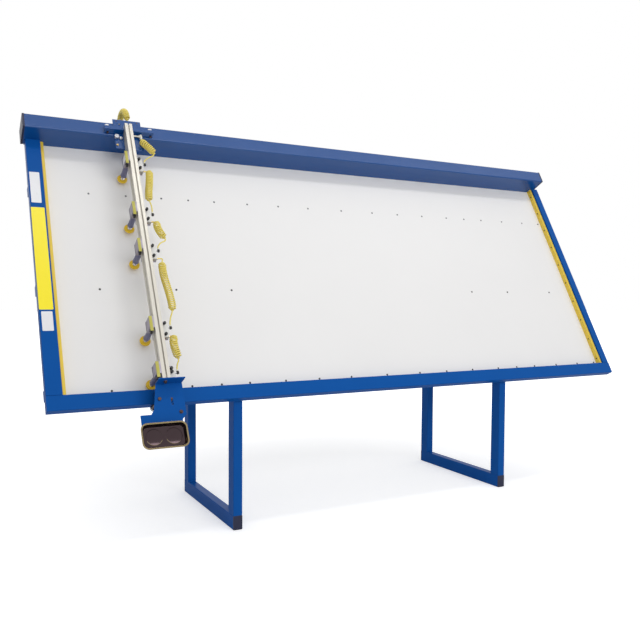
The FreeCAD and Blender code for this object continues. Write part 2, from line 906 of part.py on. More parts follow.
def head_hose(number):
    """The coiled hose that brings air to a head from the head or plate above it."""
    lead = 2 * hose_radius * lead_diameters
    if number == 0:
        start = table_point(first_port_x, port_level, first_port_foot)
        route = [start - V(0, 0, lead)]
    else:
        low = head_levels[number - 1] - outlet_below
        start = table_point(valve_right + outlet_reach, port_level, low)
        route = [start + V(lead, 0, 0)]
    end = table_point(inlet_x, port_level, head_levels[number] + inlet_above + inlet_rise)
    for right, out, fall in hose_route_shares[number]:
        level = start.z + fall * (end.z - start.z)
        route.append(table_point(inlet_x + right * coil_radius, port_level + out * coil_radius, level))
    route.append(end + V(0, 0, lead))
    return hose(
        "hose %d" % (number + 1), start, route, end,
        hose_turns[number], hose_coil_shares[number], hose_radius, coil_radius, V(0, 1, 0),
    )


def head_hoses():
    """The five hoses from head to head, each a solid of its own."""
    return Part.makeCompound([head_hose(number) for number in range(len(head_levels))])


def supply_ends():
    """Where the supply hose leaves the upper plate and where its plug hangs, in table axes."""
    start = table_point(supply_port_x, supply_port_n, supply_port_u + supply_port_rise)
    down = V(0, math.sin(tilt), -math.cos(tilt))
    back = V(0, math.cos(tilt), math.sin(tilt))
    return start, start + back * supply_back + down * supply_fall, down


def supply_hose():
    """The coiled supply hose, over the track beam and down behind the table."""
    start, end, down = supply_ends()
    lead = 2 * supply_hose_radius * lead_diameters
    first = start + V(0, 0, lead)
    last = end - down * lead
    route = [first, first + V(0, 0, supply_rise), last - down * supply_droop, last]
    return hose(
        "supply hose", start, route, end,
        supply_turns, supply_coil_share, supply_hose_radius, supply_coil_radius, V(1, 0, 0),
    )


def supply_plug():
    """Quick coupling plug on the free end of the supply hose."""
    start, end, down = supply_ends()
    body = Part.makeCylinder(plug_radius, plug_length, end, down)
    nose = Part.makeCylinder(plug_nose_radius, plug_nose_length, end + down * plug_length, down)
    return body.fuse(nose)


# Assembly

def floor_pieces():
    """The pieces that are drawn in the floor's axes."""
    pieces = {"runner_caps": runner_caps(), "stringers": stringers()}
    for side, x in zip(("left", "right"), leg_places):
        pieces["front_leg_" + side] = front_leg(x)
        pieces["rear_leg_" + side] = rear_leg(x)
        pieces["runner_" + side] = runner(x)
    return pieces


def table_pieces():
    """The pieces that are drawn in table axes."""
    pieces = {
        "cross_members": cross_members(),
        "rail_bottom": bottom_rail(),
        "rail_left": side_rail(0, left_rail_face),
        "rail_right": side_rail(frame_width - right_rail_face, frame_width),
        "top_beam": top_beam(),
        "beam_caps": beam_caps(),
        "panel": panel(),
        "fence_left": fence(left_rail_face),
        "fence_right": fence(frame_width - right_rail_face - fence_width),
        "extrusion": extrusion(),
        "upper_bracket": upper_bracket(),
        "lower_bracket": lower_bracket(),
        "guide_block": guide_block(),
        "axles": axles(),
        "pressure_gauge": pressure_gauge(),
        "air_fittings": air_fittings(),
        "parts_tray": parts_tray(),
        "head_hoses": head_hoses(),
        "supply_hose": supply_hose(),
        "supply_plug": supply_plug(),
    }
    top_hole = slim_axle_radius
    for side, x in zip(("left", "right"), top_roller_places):
        name = "roller_upper_" + side
        pieces[name] = roller(x, top_roller_level, top_roller_front, top_roller_radius, top_hole)
    for side, x in zip(("left", "right"), face_roller_places):
        pieces["face_roller_" + side] = face_roller(x)
    for side, x in zip(("left", "right"), lower_roller_places):
        name = "roller_lower_" + side
        pieces[name] = roller(x, lower_roller_level, lower_roller_front, roller_radius, axle_radius)
    for number, level in enumerate(head_levels):
        mark = "_%d" % (number + 1)
        pieces["head" + mark] = head(level, saddle_below[number])
        pieces["pad" + mark] = pad(level)
        pieces["knob_upper" + mark] = lock_knob(level + knob_above)
        pieces["knob_lower" + mark] = lock_knob(level - knob_below[number])
        pieces["hose_fittings" + mark] = hose_fittings(level, number + 1 < len(head_levels))
    return pieces


def table_origin(pieces):
    """Middle of the floor under the box of everything but the hoses and the plug."""
    rigid = [shape for name, shape in pieces.items() if "hose" not in name and "plug" not in name]
    box = Part.makeCompound(rigid).optimalBoundingBox(False)
    return V(box.Center.x, box.Center.y, box.ZMin)


def build():
    pieces = floor_pieces()
    for name, shape in table_pieces().items():
        pieces[name] = on_table(shape)
    origin = table_origin(pieces)
    print("origin", origin.x, origin.y, origin.z)
    os.makedirs("parts", exist_ok=True)
    for name, shape in pieces.items():
        shape.translate(origin * -1)
        if not shape.isValid():
            print("not valid:", name)
        shape.exportStep("parts/%s.step" % name)


build()
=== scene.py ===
import json
import math

import bmesh
import bpy
from bpy.props import FloatProperty, FloatVectorProperty, IntProperty, PointerProperty
from mathutils import Matrix, Vector


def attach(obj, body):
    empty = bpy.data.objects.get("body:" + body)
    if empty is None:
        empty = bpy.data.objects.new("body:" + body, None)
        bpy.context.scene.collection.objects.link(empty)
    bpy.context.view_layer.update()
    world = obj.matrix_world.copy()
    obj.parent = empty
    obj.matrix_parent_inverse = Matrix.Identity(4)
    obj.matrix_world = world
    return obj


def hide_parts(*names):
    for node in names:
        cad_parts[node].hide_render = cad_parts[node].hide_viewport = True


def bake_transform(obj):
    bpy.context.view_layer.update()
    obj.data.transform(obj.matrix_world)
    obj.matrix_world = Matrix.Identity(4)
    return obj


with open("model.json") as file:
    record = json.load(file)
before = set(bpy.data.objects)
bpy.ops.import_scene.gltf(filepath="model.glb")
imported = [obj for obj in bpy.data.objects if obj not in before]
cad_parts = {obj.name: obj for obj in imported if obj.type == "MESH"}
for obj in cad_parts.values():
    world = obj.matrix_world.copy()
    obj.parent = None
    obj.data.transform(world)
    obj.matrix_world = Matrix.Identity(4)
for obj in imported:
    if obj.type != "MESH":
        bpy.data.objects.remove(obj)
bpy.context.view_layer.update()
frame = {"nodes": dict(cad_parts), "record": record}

bl_info = {
    "name": "Face frame table",
    "version": (1, 0, 0),
    "blender": (4, 5, 0),
    "location": "View3D > Sidebar > Face frame table",
    "description": "Builds the looks of a tilted clamping table for face frames",
    "category": "Add Mesh",
}

# Table axes, in millimetres: x along the table, n out of the rails' front faces, u up the slope.
# A piece is modelled with its Y against n, and PLACE puts it where it belongs, in metres.
MM = 0.001
TILT = math.radians(28.8)
ORIGIN = Vector((1870.0, 325.12339458567317, 0.0))
LOWER_EDGE_HEIGHT = 715.0
PLACE = (
    Matrix.Scale(MM, 4)
    @ Matrix.Translation(Vector((0.0, 0.0, LOWER_EDGE_HEIGHT)) - ORIGIN)
    @ Matrix.Rotation(-TILT, 4, "X")
)
SHARP_FROM = 32
ALONG_X = Vector((1, 0, 0))
OUT = Vector((0, -1, 0))
UP = Vector((0, 0, 1))

# Table
SLOPE_LENGTH = 1562.0
PANEL_FRONT = -44.4
FENCE_LEFT = 76.2
FENCE_RIGHT = 3709.2
FENCE_WIDTH = 17.0

# Plates on the left rail: finish, slot, and their ends along x and u
RAIL_PLATES = {
    "rail_plate_white": ("white_label", "white_board", (7.0, 57.0, 1148.0, 1343.0)),
    "rail_plate_yellow": ("yellow_label", "yellow_plastic", (1.5, 68.0, 522.0, 1119.0)),
    "rail_plate_small": ("white_label", "white_board", (10.0, 62.0, 407.0, 512.0)),
}
RAIL_PLATE_THICK = 0.6
RAIL_PLATE_CORNER = 4.0

# Carriage, its plates and their bolts
CARRIAGE_X = 524.0
PLATE_FRONT = 107.4
FLANGE_TOP = 65.8
SHELF_THICK = 4.8
EXTRUSION_LEFT = 504.0
EXTRUSION_RIGHT = 544.0
CORNER_BOLT_X = 588.0
CORNER_BOLT_LEVEL = -87.0
SHELF_BOLT_N = 137.0
UPPER_BOLT_OFFSET = 34.0
UPPER_BOLT_LEVEL = 1640.0

# Parts tray and its two magnets
TRAY_X = 485.0
TRAY_LEVEL = -206.0
TRAY_WIDTH = 221.0
TRAY_HEIGHT = 127.0
TRAY_BACK = 119.4
TRAY_FRONT = 144.4
TRAY_WALL = 1.5
TRAY_CORNER = 32.0
TRAY_NARROWING = 16.0
TRAY_RIM_OUTSIDE = 6.0
TRAY_RIM_INSIDE = 7.5
MAGNET_OFFSET = 47.0
# Boss flanks lower than this under the tray's middle take the rim's colour as a painted highlight
BOSS_PAINTED_HIGHLIGHT_BELOW = 16.0
TRAY_SOFT_EDGE = 0.9

# Air fittings of the carriage: how far beside its middle and below the slope's upper end they are
COUPLING_OFFSET = 37.0
COUPLING_BELOW = 24.0
GAUGE_OFFSET = 60.0
GAUGE_BELOW = 17.0
VENT_BELOW = 70.0
FIRST_PORT_BELOW = 6.0

# Dial of the gauge: its place before the plate, its ticks and its needle, with angles in degrees
DIAL_BACK = 14.3
DIAL_FRONT = 14.6
TICKS = 11
FIRST_TICK = 225
TICK_STEP = 27
TICK_OUTER = 9.6
TICK_INNER = 8.2
LONG_TICK_INNER = 7.4
NEEDLE_TURN = 120
NEEDLE_REACH = 3.0

# Heads: the levels of all five, then the places of their forms
HEAD_LEVELS = (1357.0656, 1026.0778, 798.963, 348.9508, 106.0)
SADDLE_BELOW = (54.0, 54.0, 54.0, 54.0, 38.0)
SADDLE_ABOVE = 46.0
SADDLE_BACK = 97.4
SADDLE_FRONT = 107.1
HEAD_X = 500.0
BLOCK_LEFT = 479.0
BLOCK_RIGHT = 503.7
BLOCK_BELOW = 14.0
BLOCK_FRONT = 170.4
BLOCK_LAP = 2.0
BLOCK_BOLTS_N = (118.0, 158.0)
BLOCK_BOLTS_ABOVE = 36.0
# A bare white sheet on the first block's side, a painted highlight where that face catches the light: its
# ends along n, and along u from the head's level
SIDE_HIGHLIGHT_PLATE = (112.0, 167.0, -10.0, 30.0)
SIDE_HIGHLIGHT_PLATE_THICK = 0.5
SILENCER_RISE = 2.4
STRIP_LEFT = 478.0
STRIP_RIGHT = 494.0
STRIP_FRONT = 173.4
STRIP_BELOW = 34.0
ELBOW_X = 490.0
ELBOW_N = 140.0
VALVE_LEFT = 544.3
VALVE_RIGHT = 580.3
VALVE_ABOVE = 28.0
VALVE_FRONT = 135.4
VALVE_FOOT = 2.0
VALVE_CAP = 7.0
VALVE_CAP_BEHIND = 6.0
PORT_N = 121.4
KNOB_X = 559.0
KNOB_BACK = 145.4
KNOB_FRONT = 160.4
KNOB_ABOVE = 16.0
KNOB_BELOW = (43.0, 43.0, 43.0, 43.0, 2.0)
FLUTES = 7
FLUTE_DEPTH = 0.05
FLUTED_OUTSIDE = 6.0
PAD_BACK = -15.4
PAD_FACE = -25.4
INLET_X = 596.0
INLET_ABOVE = 2.0
INLET_TOP = 18.0
OUTLET_BELOW = 44.0
OUTLET_X = 589.3

# Hoses
HOSE_RADIUS = 3.5
COIL_RADIUS = 17.0
SUPPLY_RADIUS = 4.0
SUPPLY_COIL_RADIUS = 15.0
LEAD_DIAMETERS = 1.2
LEAD_STEPS = 3
LEAD_TURNS = 2.0
LEAST_TURNS = 3
TAIL_STEPS = 24
# The share of a line, to each side of a point, that gives its heading there
HEADING_SHARE = 0.004
SUPPLY_TAIL_TURNS = 14.0
FIRST_PORT_X = 598.0
FIRST_PORT_FOOT = 1536.0
# Shares of its route between which each head's hose is coiled
COIL_BEGINS = (0.0, 0.02, 0.03, 0.09, 0.0)
COIL_ENDS = (0.62, 0.80, 0.66, 0.83, 0.76)
# Points that pull each route: coil radii to the right and out, and the share of the way down
ROUTE_SHARES = (
    ((0.2, 0.7, 0.19), (2.3, 0.9, 0.44), (3.9, 0.9, 0.69), (0.8, 0.2, 0.83)),
    ((1.0, 0.1, 0), (0.8, 0.6, 0.1), (0.4, 0.9, 0.27), (-0.9, 0.9, 0.72), (0.1, 0.4, 0.88)),
    ((1.0, 0.1, 0), (0.5, 0.6, 0.19), (1.2, 0.9, 0.47), (3.0, 0.9, 0.75), (0.6, 0.4, 0.81)),
    (
        (1.0, 0.1, 0), (0.3, 0.6, 0.07), (0.0, 0.9, 0.27),
        (1.0, 0.9, 0.55), (1.4, 0.9, 0.79), (0.1, 0.3, 0.92),
    ),
    ((0.8, 0.1, 0), (0.0, 0.6, 0.14), (-0.1, 0.9, 0.36), (0.8, 0.9, 0.75), (0.1, 0.4, 0.84)),
)
SUPPLY_X = 544.0
SUPPLY_N = 91.6
SUPPLY_FOOT_N = 102.6
SUPPLY_U = 1677.9
SUPPLY_SHARE = 0.98
SUPPLY_RISE = 110.0
SUPPLY_BACK = 240.0
SUPPLY_FALL = 290.0
SUPPLY_DROOP = 320.0

# Panel screws, by column and row
SCREW_COLUMNS = (
    310, 513, 716, 876, 1036, 1249, 1458, 1668, 1914, 2153, 2358, 2565, 2780, 2940, 3100, 3300, 3503, 3668,
)
MIDDLE_COLUMNS = (310, 716, 1036, 2780, 3100, 3503)
# The low row leaves room for the lowest pad where the carriage is parked
LOW_COLUMNS = (310, 560) + SCREW_COLUMNS[2:]
TOP_ROW = 1260.0
MIDDLE_ROW = 661.0
LOW_ROW = 97.0

# Fence screws: their place out of the rails, the first one's level, and what the rows leave free
FENCE_SCREW_N = -28.0
FENCE_SCREW_FOOT = 120.0
FENCE_ROW_FREE = 180.0
FENCE_COUNT_FREE = 140.0

# Studio, in metres and degrees, with the picture's sizes in pixels. The floor glows least at the
# near distance from the middle and most at the far one.
WHITE = (1.0, 1.0, 1.0, 1.0)
ROOM_COLOUR = (0.97, 0.98, 1.0, 1.0)
FLOOR_REACH = 40.0
FLOOR_DROP = 0.0005
GLOW_NEAR = 1.2
GLOW_FAR = 3.8
GLOW_LEAST = 0.46
GLOW_MOST = 0.95
CAMERA_PLACE = (-2.3153, -3.7605687, 1.2692)
CAMERA_TURN = -28.4
CAMERA_DOWN = 2.41
CAMERA_ROLL = 0.38
SENSOR_WIDTH = 36.0
PICTURE_WIDTH = 640.0
FOCAL_LENGTH = 714.19
PICTURE_SHIFT = 1.5

# Lamps: place, target and size
LAMPS = {
    "overhead": ((0.9, -1.3, 5.0), (0.9, -1.3, 0.0), (6.4, 0.4)),
    "front": ((0.3, -6.8, 3.7), (0.0, 0.1, 1.3), (6.0, 2.4)),
}


# Sizes and colours that a user would change

class HoseSettings(bpy.types.PropertyGroup):
    pitch: FloatProperty(
        name="Coil pitch", description="Distance from one turn of a head's hose to the next",
        default=0.0105, min=0.0102, max=0.05, unit="LENGTH",
    )
    supply_pitch: FloatProperty(
        name="Supply coil pitch", description="Distance from one turn of the supply hose to the next",
        default=0.0135, min=0.0118, max=0.08, unit="LENGTH",
    )
    steps: IntProperty(
        name="Steps per turn", description="Rings of the tube in each turn of a coil", default=24,
        min=12, max=64,
    )
    colour: FloatVectorProperty(
        name="Hose colour", description="Polyurethane of the hoses", default=(0.80, 0.66, 0.13),
        subtype="COLOR", min=0, max=1,
    )


class FinishSettings(bpy.types.PropertyGroup):
    paint: FloatVectorProperty(
        name="Paint", description="Powder coat of the steelwork", default=(0.004, 0.082, 0.335),
        subtype="COLOR", min=0, max=1,
    )
    board: FloatVectorProperty(
        name="Board", description="White face of the panel", default=(0.80, 0.79, 0.78),
        subtype="COLOR", min=0, max=1,
    )
    fence: FloatVectorProperty(
        name="Fences", description="Polyethylene of the two fences", default=(0.78, 0.55, 0.05),
        subtype="COLOR", min=0, max=1,
    )
    pad: FloatVectorProperty(
        name="Pads", description="Urethane of the hold-down pads", default=(0.80, 0.52, 0.02),
        subtype="COLOR", min=0, max=1,
    )
    head: FloatVectorProperty(
        name="Heads", description="Metal of the clamp heads", default=(0.36, 0.33, 0.40),
        subtype="COLOR", min=0, max=1,
    )
    wear: FloatProperty(
        name="Edge wear width", description="How far wear reaches in from an edge", default=0.0012,
        min=0.0, max=0.01, unit="LENGTH",
    )


class FastenerSettings(bpy.types.PropertyGroup):
    screw_radius: FloatProperty(
        name="Screw head radius", description="Panel screws", default=0.006,
        min=0.003, max=0.01, unit="LENGTH",
    )
    fence_spacing: FloatProperty(
        name="Fence screw spacing", description="Distance between the screws of a fence", default=0.15,
        min=0.05, max=0.5, unit="LENGTH",
    )


class StudioSettings(bpy.types.PropertyGroup):
    floor: FloatVectorProperty(
        name="Floor", description="Pale studio floor", default=(0.80, 0.80, 0.80),
        subtype="COLOR", min=0, max=1,
    )
    overhead: FloatProperty(
        name="Overhead lamp", description="Power of the soft box above the table", default=44.0,
        min=0.0, unit="POWER",
    )
    front: FloatProperty(
        name="Front lamp", description="Power of the soft lamp above the camera", default=188.0,
        min=0.0, unit="POWER",
    )
    sky: FloatProperty(
        name="Room light", description="Strength of the light from all round", default=0.56,
        min=0.0, max=2.0,
    )


# Modelling

def local(x, n, u):
    """A place in table axes as the modelling uses it, in millimetres."""
    return Vector((x, -n, u))


def at(x, n, u):
    """A place in table axes as a point of the frame, in metres."""
    return PLACE @ local(x, n, u)


def collect(build, name):
    """Turn a form into an object of the scene."""
    mesh = bpy.data.meshes.new(name)
    build.to_mesh(mesh)
    build.free()
    piece = bpy.data.objects.new(name, mesh)
    bpy.context.scene.collection.objects.link(piece)
    return piece


def rounded_edges(build, edges, size, segments=2):
    bmesh.ops.bevel(
        build, geom=edges, offset=size, offset_type="OFFSET", segments=segments, profile=0.5,
        affect="EDGES", clamp_overlap=True, material=-1,
    )


def cube(build, middle, size, turn=0.0):
    """A plain box at a place, turned about the way out of the table."""
    place = Matrix.Translation(middle) @ Matrix.Rotation(-turn, 4, "Y") @ Matrix.Diagonal((*size, 1))
    return bmesh.ops.create_cube(build, size=1.0, matrix=place)["verts"]


def block(build, x0, x1, n0, n1, u0, u1, edge):
    """A box with rounded edges."""
    middle = local((x0 + x1) / 2, (n0 + n1) / 2, (u0 + u1) / 2)
    verts = cube(build, middle, (x1 - x0, n1 - n0, u1 - u0))
    rounded_edges(build, list({each for vert in verts for each in vert.link_edges}), edge)


def turned(build, base, axis, profile, steps, closed=True):
    """A turned form: a profile of places along an axis and radii, spun once round it.

    A closed profile is carried in to the axis at both its ends."""
    if closed:
        profile = ((profile[0][0], 0), *profile, (profile[-1][0], 0))
    side = axis.orthogonal().normalized()
    chain = [build.verts.new(base + axis * place + side * radius) for place, radius in profile]
    edges = [build.edges.new(pair) for pair in zip(chain, chain[1:])]
    bmesh.ops.spin(
        build, geom=chain + edges, cent=base, axis=axis, angle=2 * math.pi, steps=steps,
        use_merge=True, use_duplicate=False,
    )


def finish(build, name, looks, body, replaced=()):
    """Clean a form, put it in its place, give it its looks and hand it to its body."""
    bmesh.ops.remove_doubles(build, verts=build.verts, dist=0.005)
    bmesh.ops.recalc_face_normals(build, faces=build.faces)
    bmesh.ops.transform(build, matrix=PLACE, verts=build.verts)
    for face in build.faces:
        face.smooth = True
    piece = collect(build, name)
    piece.data.set_sharp_from_angle(angle=math.radians(SHARP_FROM))
    for look in (looks,) if isinstance(looks, str) else looks:
        piece.data.materials.append(finish_of(look))
    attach(piece, body)
    if replaced:
        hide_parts(*replaced)
    return piece


def turned_piece(name, look, slot, body, replaced, *forms):
    """A piece of turned forms, each given as its base, axis, profile and steps."""
    build = bmesh.new()
    for form in forms:
        turned(build, *form)
    finish(build, name, look, body, (replaced,))


# Effects that several finishes share

def effect(name, inputs, outputs):
    group = bpy.data.node_groups.new(name, "ShaderNodeTree")
    for label, kind, value in inputs:
        socket = group.interface.new_socket(label, in_out="INPUT", socket_type=kind)
        socket.default_value = value
    for label, kind in outputs:
        group.interface.new_socket(label, in_out="OUTPUT", socket_type=kind)
    entry = group.nodes.new("NodeGroupInput")
    leaving = group.nodes.new("NodeGroupOutput")
    return group, entry, leaving


def feed(tree, node, inputs):
    """Give a node's inputs their values, or link them to the sockets that feed them."""
    for name, value in inputs.items():
        if isinstance(value, bpy.types.NodeSocket):
            tree.links.new(value, node.inputs[name])
        else:
            node.inputs[name].default_value = value


def add(tree, kind, inputs=None, **settings):
    """A new node with its settings and its inputs."""
    node = tree.nodes.new(kind)
    for name, value in settings.items():
        setattr(node, name, value)
    feed(tree, node, inputs or {})
    return node


def mottle_effect():
    """Slow and fine shifts of a colour's lightness over a surface."""
    group, entry, leaving = effect(
        "Mottle",
        (("Colour", "NodeSocketColor", (0.5, 0.5, 0.5, 1)), ("Spread", "NodeSocketFloat", 0.08),
         ("Scale", "NodeSocketFloat", 6.0)),
        (("Colour", "NodeSocketColor"), ("Mask", "NodeSocketFloat")),
    )
    place = add(group, "ShaderNodeTexCoord")
    noise = add(group, "ShaderNodeTexNoise", {
        "Vector": place.outputs["Object"], "Scale": entry.outputs["Scale"], "Detail": 6.0, "Roughness": 0.62,
    })
    centred = add(group, "ShaderNodeMath", {0: noise.outputs["Fac"], 1: 0.5}, operation="SUBTRACT")
    spread = add(group, "ShaderNodeMath", {
        0: centred.outputs[0], 1: entry.outputs["Spread"], 2: 1.0,
    }, operation="MULTIPLY_ADD")
    tint = add(group, "ShaderNodeHueSaturation", {
        "Value": spread.outputs[0], "Color": entry.outputs["Colour"],
    })
    feed(group, leaving, {"Colour": tint.outputs["Color"], "Mask": noise.outputs["Fac"]})
    return group


def wear_effect():
    """A mask that is high along worn edges and broken up by noise."""
    group, entry, leaving = effect(
        "Edge wear",
        (("Width", "NodeSocketFloat", 0.001), ("Amount", "NodeSocketFloat", 0.5)),
        (("Mask", "NodeSocketFloat"),),
    )
    soft = add(group, "ShaderNodeBevel", {"Radius": entry.outputs["Width"]}, samples=4)
    plain = add(group, "ShaderNodeNewGeometry")
    turn = add(group, "ShaderNodeVectorMath", {
        0: soft.outputs["Normal"], 1: plain.outputs["Normal"],
    }, operation="DOT_PRODUCT")
    edge = add(group, "ShaderNodeMapRange", {
        "Value": turn.outputs["Value"], "From Min": 0.995, "From Max": 0.90,
    })
    place = add(group, "ShaderNodeTexCoord")
    noise = add(group, "ShaderNodeTexNoise", {
        "Vector": place.outputs["Object"], "Scale": 45.0, "Detail": 5.0,
    })
    broken = add(group, "ShaderNodeMapRange", {
        "Value": noise.outputs["Fac"], "From Min": 0.52, "From Max": 0.68,
    })
    both = add(group, "ShaderNodeMath", {
        0: edge.outputs["Result"], 1: broken.outputs["Result"],
    }, operation="MULTIPLY")
    scaled = add(group, "ShaderNodeMath", {
        0: both.outputs[0], 1: entry.outputs["Amount"],
    }, operation="MULTIPLY", use_clamp=True)
    feed(group, leaving, {"Mask": scaled.outputs[0]})
    return group


def grain_effect():
    """Fine relief, as wide in each direction of the slope as its scale says."""
    group, entry, leaving = effect(
        "Grain",
        (("Scale", "NodeSocketVector", (300.0, 300.0, 300.0)), ("Detail", "NodeSocketFloat", 3.0)),
        (("Height", "NodeSocketFloat"),),
    )
    place = add(group, "ShaderNodeTexCoord")
    turn = add(group, "ShaderNodeMapping", {"Vector": place.outputs["Object"], "Rotation": (TILT, 0.0, 0.0)})
    stretch = add(group, "ShaderNodeVectorMath", {
        0: turn.outputs["Vector"], 1: entry.outputs["Scale"],
    }, operation="MULTIPLY")
    noise = add(group, "ShaderNodeTexNoise", {
        "Vector": stretch.outputs["Vector"], "Scale": 1.0, "Detail": entry.outputs["Detail"],
    })
    feed(group, leaving, {"Height": noise.outputs["Fac"]})
    return group


EFFECTS = {}


def shared(name):
    makers = {"Mottle": mottle_effect, "Edge wear": wear_effect, "Grain": grain_effect}
    if name not in EFFECTS:
        EFFECTS[name] = makers[name]()
    return EFFECTS[name]


# Finishes: colour (None where the user sets it), mottle (spread, scale), roughness (low, high), metallic,
# grain (scale or one for each direction, strength, depth) and wear (amount, colour)
FINISHES = {
    "blue_paint": (None, (0.1, 5.0), (0.26, 0.4), 0.0, (420, 0.1, 0.00035), (0.45, (0.05, 0.13, 0.37))),
    # A glossier, darker copy of the blue powder coat for the beam and the upper bracket: a painted sheen
    # where they catch the overhead light
    "beam_paint": (
        (0.003, 0.062, 0.245), (0.1, 4.0), (0.17, 0.3), 0.0, (420, 0.08, 0.00035), (0.45, (0.12, 0.2, 0.4)),
    ),
    "navy_plastic": (
        (0.01, 0.013, 0.045), (0.3, 30.0), (0.35, 0.5), 0.0, (900, 0.2, 0.0002), (0.5, (0.05, 0.07, 0.16)),
    ),
    "valve_white": (
        (0.7, 0.69, 0.66), (0.08, 40.0), (0.28, 0.42), 0.0, (1200, 0.12, 0.0001), (0.5, (0.4, 0.4, 0.4)),
    ),
    "bronze": (
        (0.2, 0.1, 0.07), (0.3, 120.0), (0.45, 0.6), 0.8, (2600, 0.5, 0.0002), (0.5, (0.5, 0.32, 0.18)),
    ),
    "dark_bolt": (
        (0.085, 0.055, 0.05), (0.35, 90.0), (0.28, 0.45), 0.85, (1200, 0.2, 0.0001), (0.7, (0.4, 0.34, 0.32)),
    ),
    "white_board": (None, (0.045, 1.6), (0.32, 0.5), 0.0, (240, 0.06, 0.0002), (0.4, (0.45, 0.42, 0.38))),
    "yellow_plastic": (
        None, (0.1, 14.0), (0.32, 0.5), 0.0, ((900, 900, 30), 0.15, 0.0003), (0.5, (0.9, 0.78, 0.35)),
    ),
    "black_plastic": (
        (0.012, 0.012, 0.014), (0.3, 40.0), (0.35, 0.55), 0.0, (1400, 0.25, 0.0002), (0.6, (0.1, 0.1, 0.1)),
    ),
    "anodised": (
        (0.62, 0.59, 0.52), (0.08, 9.0), (0.3, 0.42), 0.45, ((1800, 1800, 14), 0.16, 0.00008),
        (0.5, (0.95, 0.95, 0.95)),
    ),
    "head_metal": (None, (0.16, 30.0), (0.32, 0.46), 0.35, (900, 0.15, 0.0002), (0.8, (0.7, 0.7, 0.74))),
    "steel": (
        (0.5, 0.5, 0.51), (0.25, 60.0), (0.22, 0.4), 0.95, (1500, 0.12, 0.0001), (0.4, (0.8, 0.8, 0.8)),
    ),
    "roller_steel": (
        (0.72, 0.72, 0.74), (0.12, 40.0), (0.1, 0.24), 1.0, ((60, 60, 2400), 0.1, 0.00005),
        (0.5, (0.35, 0.34, 0.33)),
    ),
    "yellow_pad": (None, (0.16, 50.0), (0.45, 0.65), 0.0, (700, 0.3, 0.0003), (0.7, (0.35, 0.24, 0.05))),
    "hose": (None, (0.1, 25.0), (0.16, 0.3), 0.0, (500, 0.04, 0.0002), None),
    "brass": (
        (0.62, 0.46, 0.2), (0.2, 60.0), (0.18, 0.34), 1.0, (1200, 0.1, 0.0001), (0.6, (0.85, 0.72, 0.42)),
    ),
    "tray": (
        (0.06, 0.042, 0.046), (0.25, 20.0), (0.05, 0.14), 1.0, ((1600, 60, 60), 0.05, 0.00005),
        (0.5, (0.8, 0.74, 0.5)),
    ),
    "gauge": ((0.16, 0.16, 0.17), (0.25, 50.0), (0.2, 0.35), 0.8, (900, 0.1, 0.0001), (0.7, (0.7, 0.7, 0.7))),
    # Rim of the tray, also used as a painted highlight on the lower flanks of the magnet bosses
    "tray_rim": ((0.27, 0.215, 0.115), (0.55, 14.0), (0.1, 0.22), 1.0, (800, 0.05, 0.00005), None),
    "bell_enamel": (
        (0.15, 0.15, 0.25), (0.2, 35.0), (0.3, 0.45), 0.2, (700, 0.15, 0.0002), (0.9, (0.62, 0.63, 0.68)),
    ),
    "scale_strip": (
        (0.46, 0.42, 0.07), (0.12, 60.0), (0.3, 0.45), 0.0, (900, 0.1, 0.0001), (0.4, (0.85, 0.82, 0.5)),
    ),
    "white_label": (
        (0.78, 0.78, 0.8), (0.12, 9.0), (0.22, 0.36), 0.0, (300, 0.05, 0.0001), (0.4, (0.5, 0.48, 0.45)),
    ),
    "yellow_label": (
        (0.95, 0.8, 0.01), (0.06, 9.0), (0.24, 0.38), 0.0, (300, 0.05, 0.0001), (0.4, (0.5, 0.42, 0.1)),
    ),
    "pale_nylon": (
        (0.8, 0.77, 0.66), (0.1, 60.0), (0.3, 0.45), 0.0, (900, 0.1, 0.0001), (0.5, (0.5, 0.48, 0.4)),
    ),
    "grey_screw": (
        (0.16, 0.16, 0.17), (0.3, 80.0), (0.3, 0.5), 0.7, (1200, 0.15, 0.0001), (0.6, (0.5, 0.5, 0.5)),
    ),
}

# Specular levels, where they aren't the usual one
SPECULAR = {"blue_paint": 0.06, "hose": 0.6}
USUAL_SPECULAR = 0.5

MADE = {}


def colour_of(name):
    """A finish's own colour, or the one that the user sets for it."""
    chosen = bpy.context.scene.face_frame_finishes
    hoses = bpy.context.scene.face_frame_hoses
    set_by_user = {
        "blue_paint": chosen.paint, "white_board": chosen.board, "yellow_plastic": chosen.fence,
        "yellow_pad": chosen.pad, "head_metal": chosen.head, "hose": hoses.colour,
    }
    return set_by_user[name] if name in set_by_user else FINISHES[name][0]


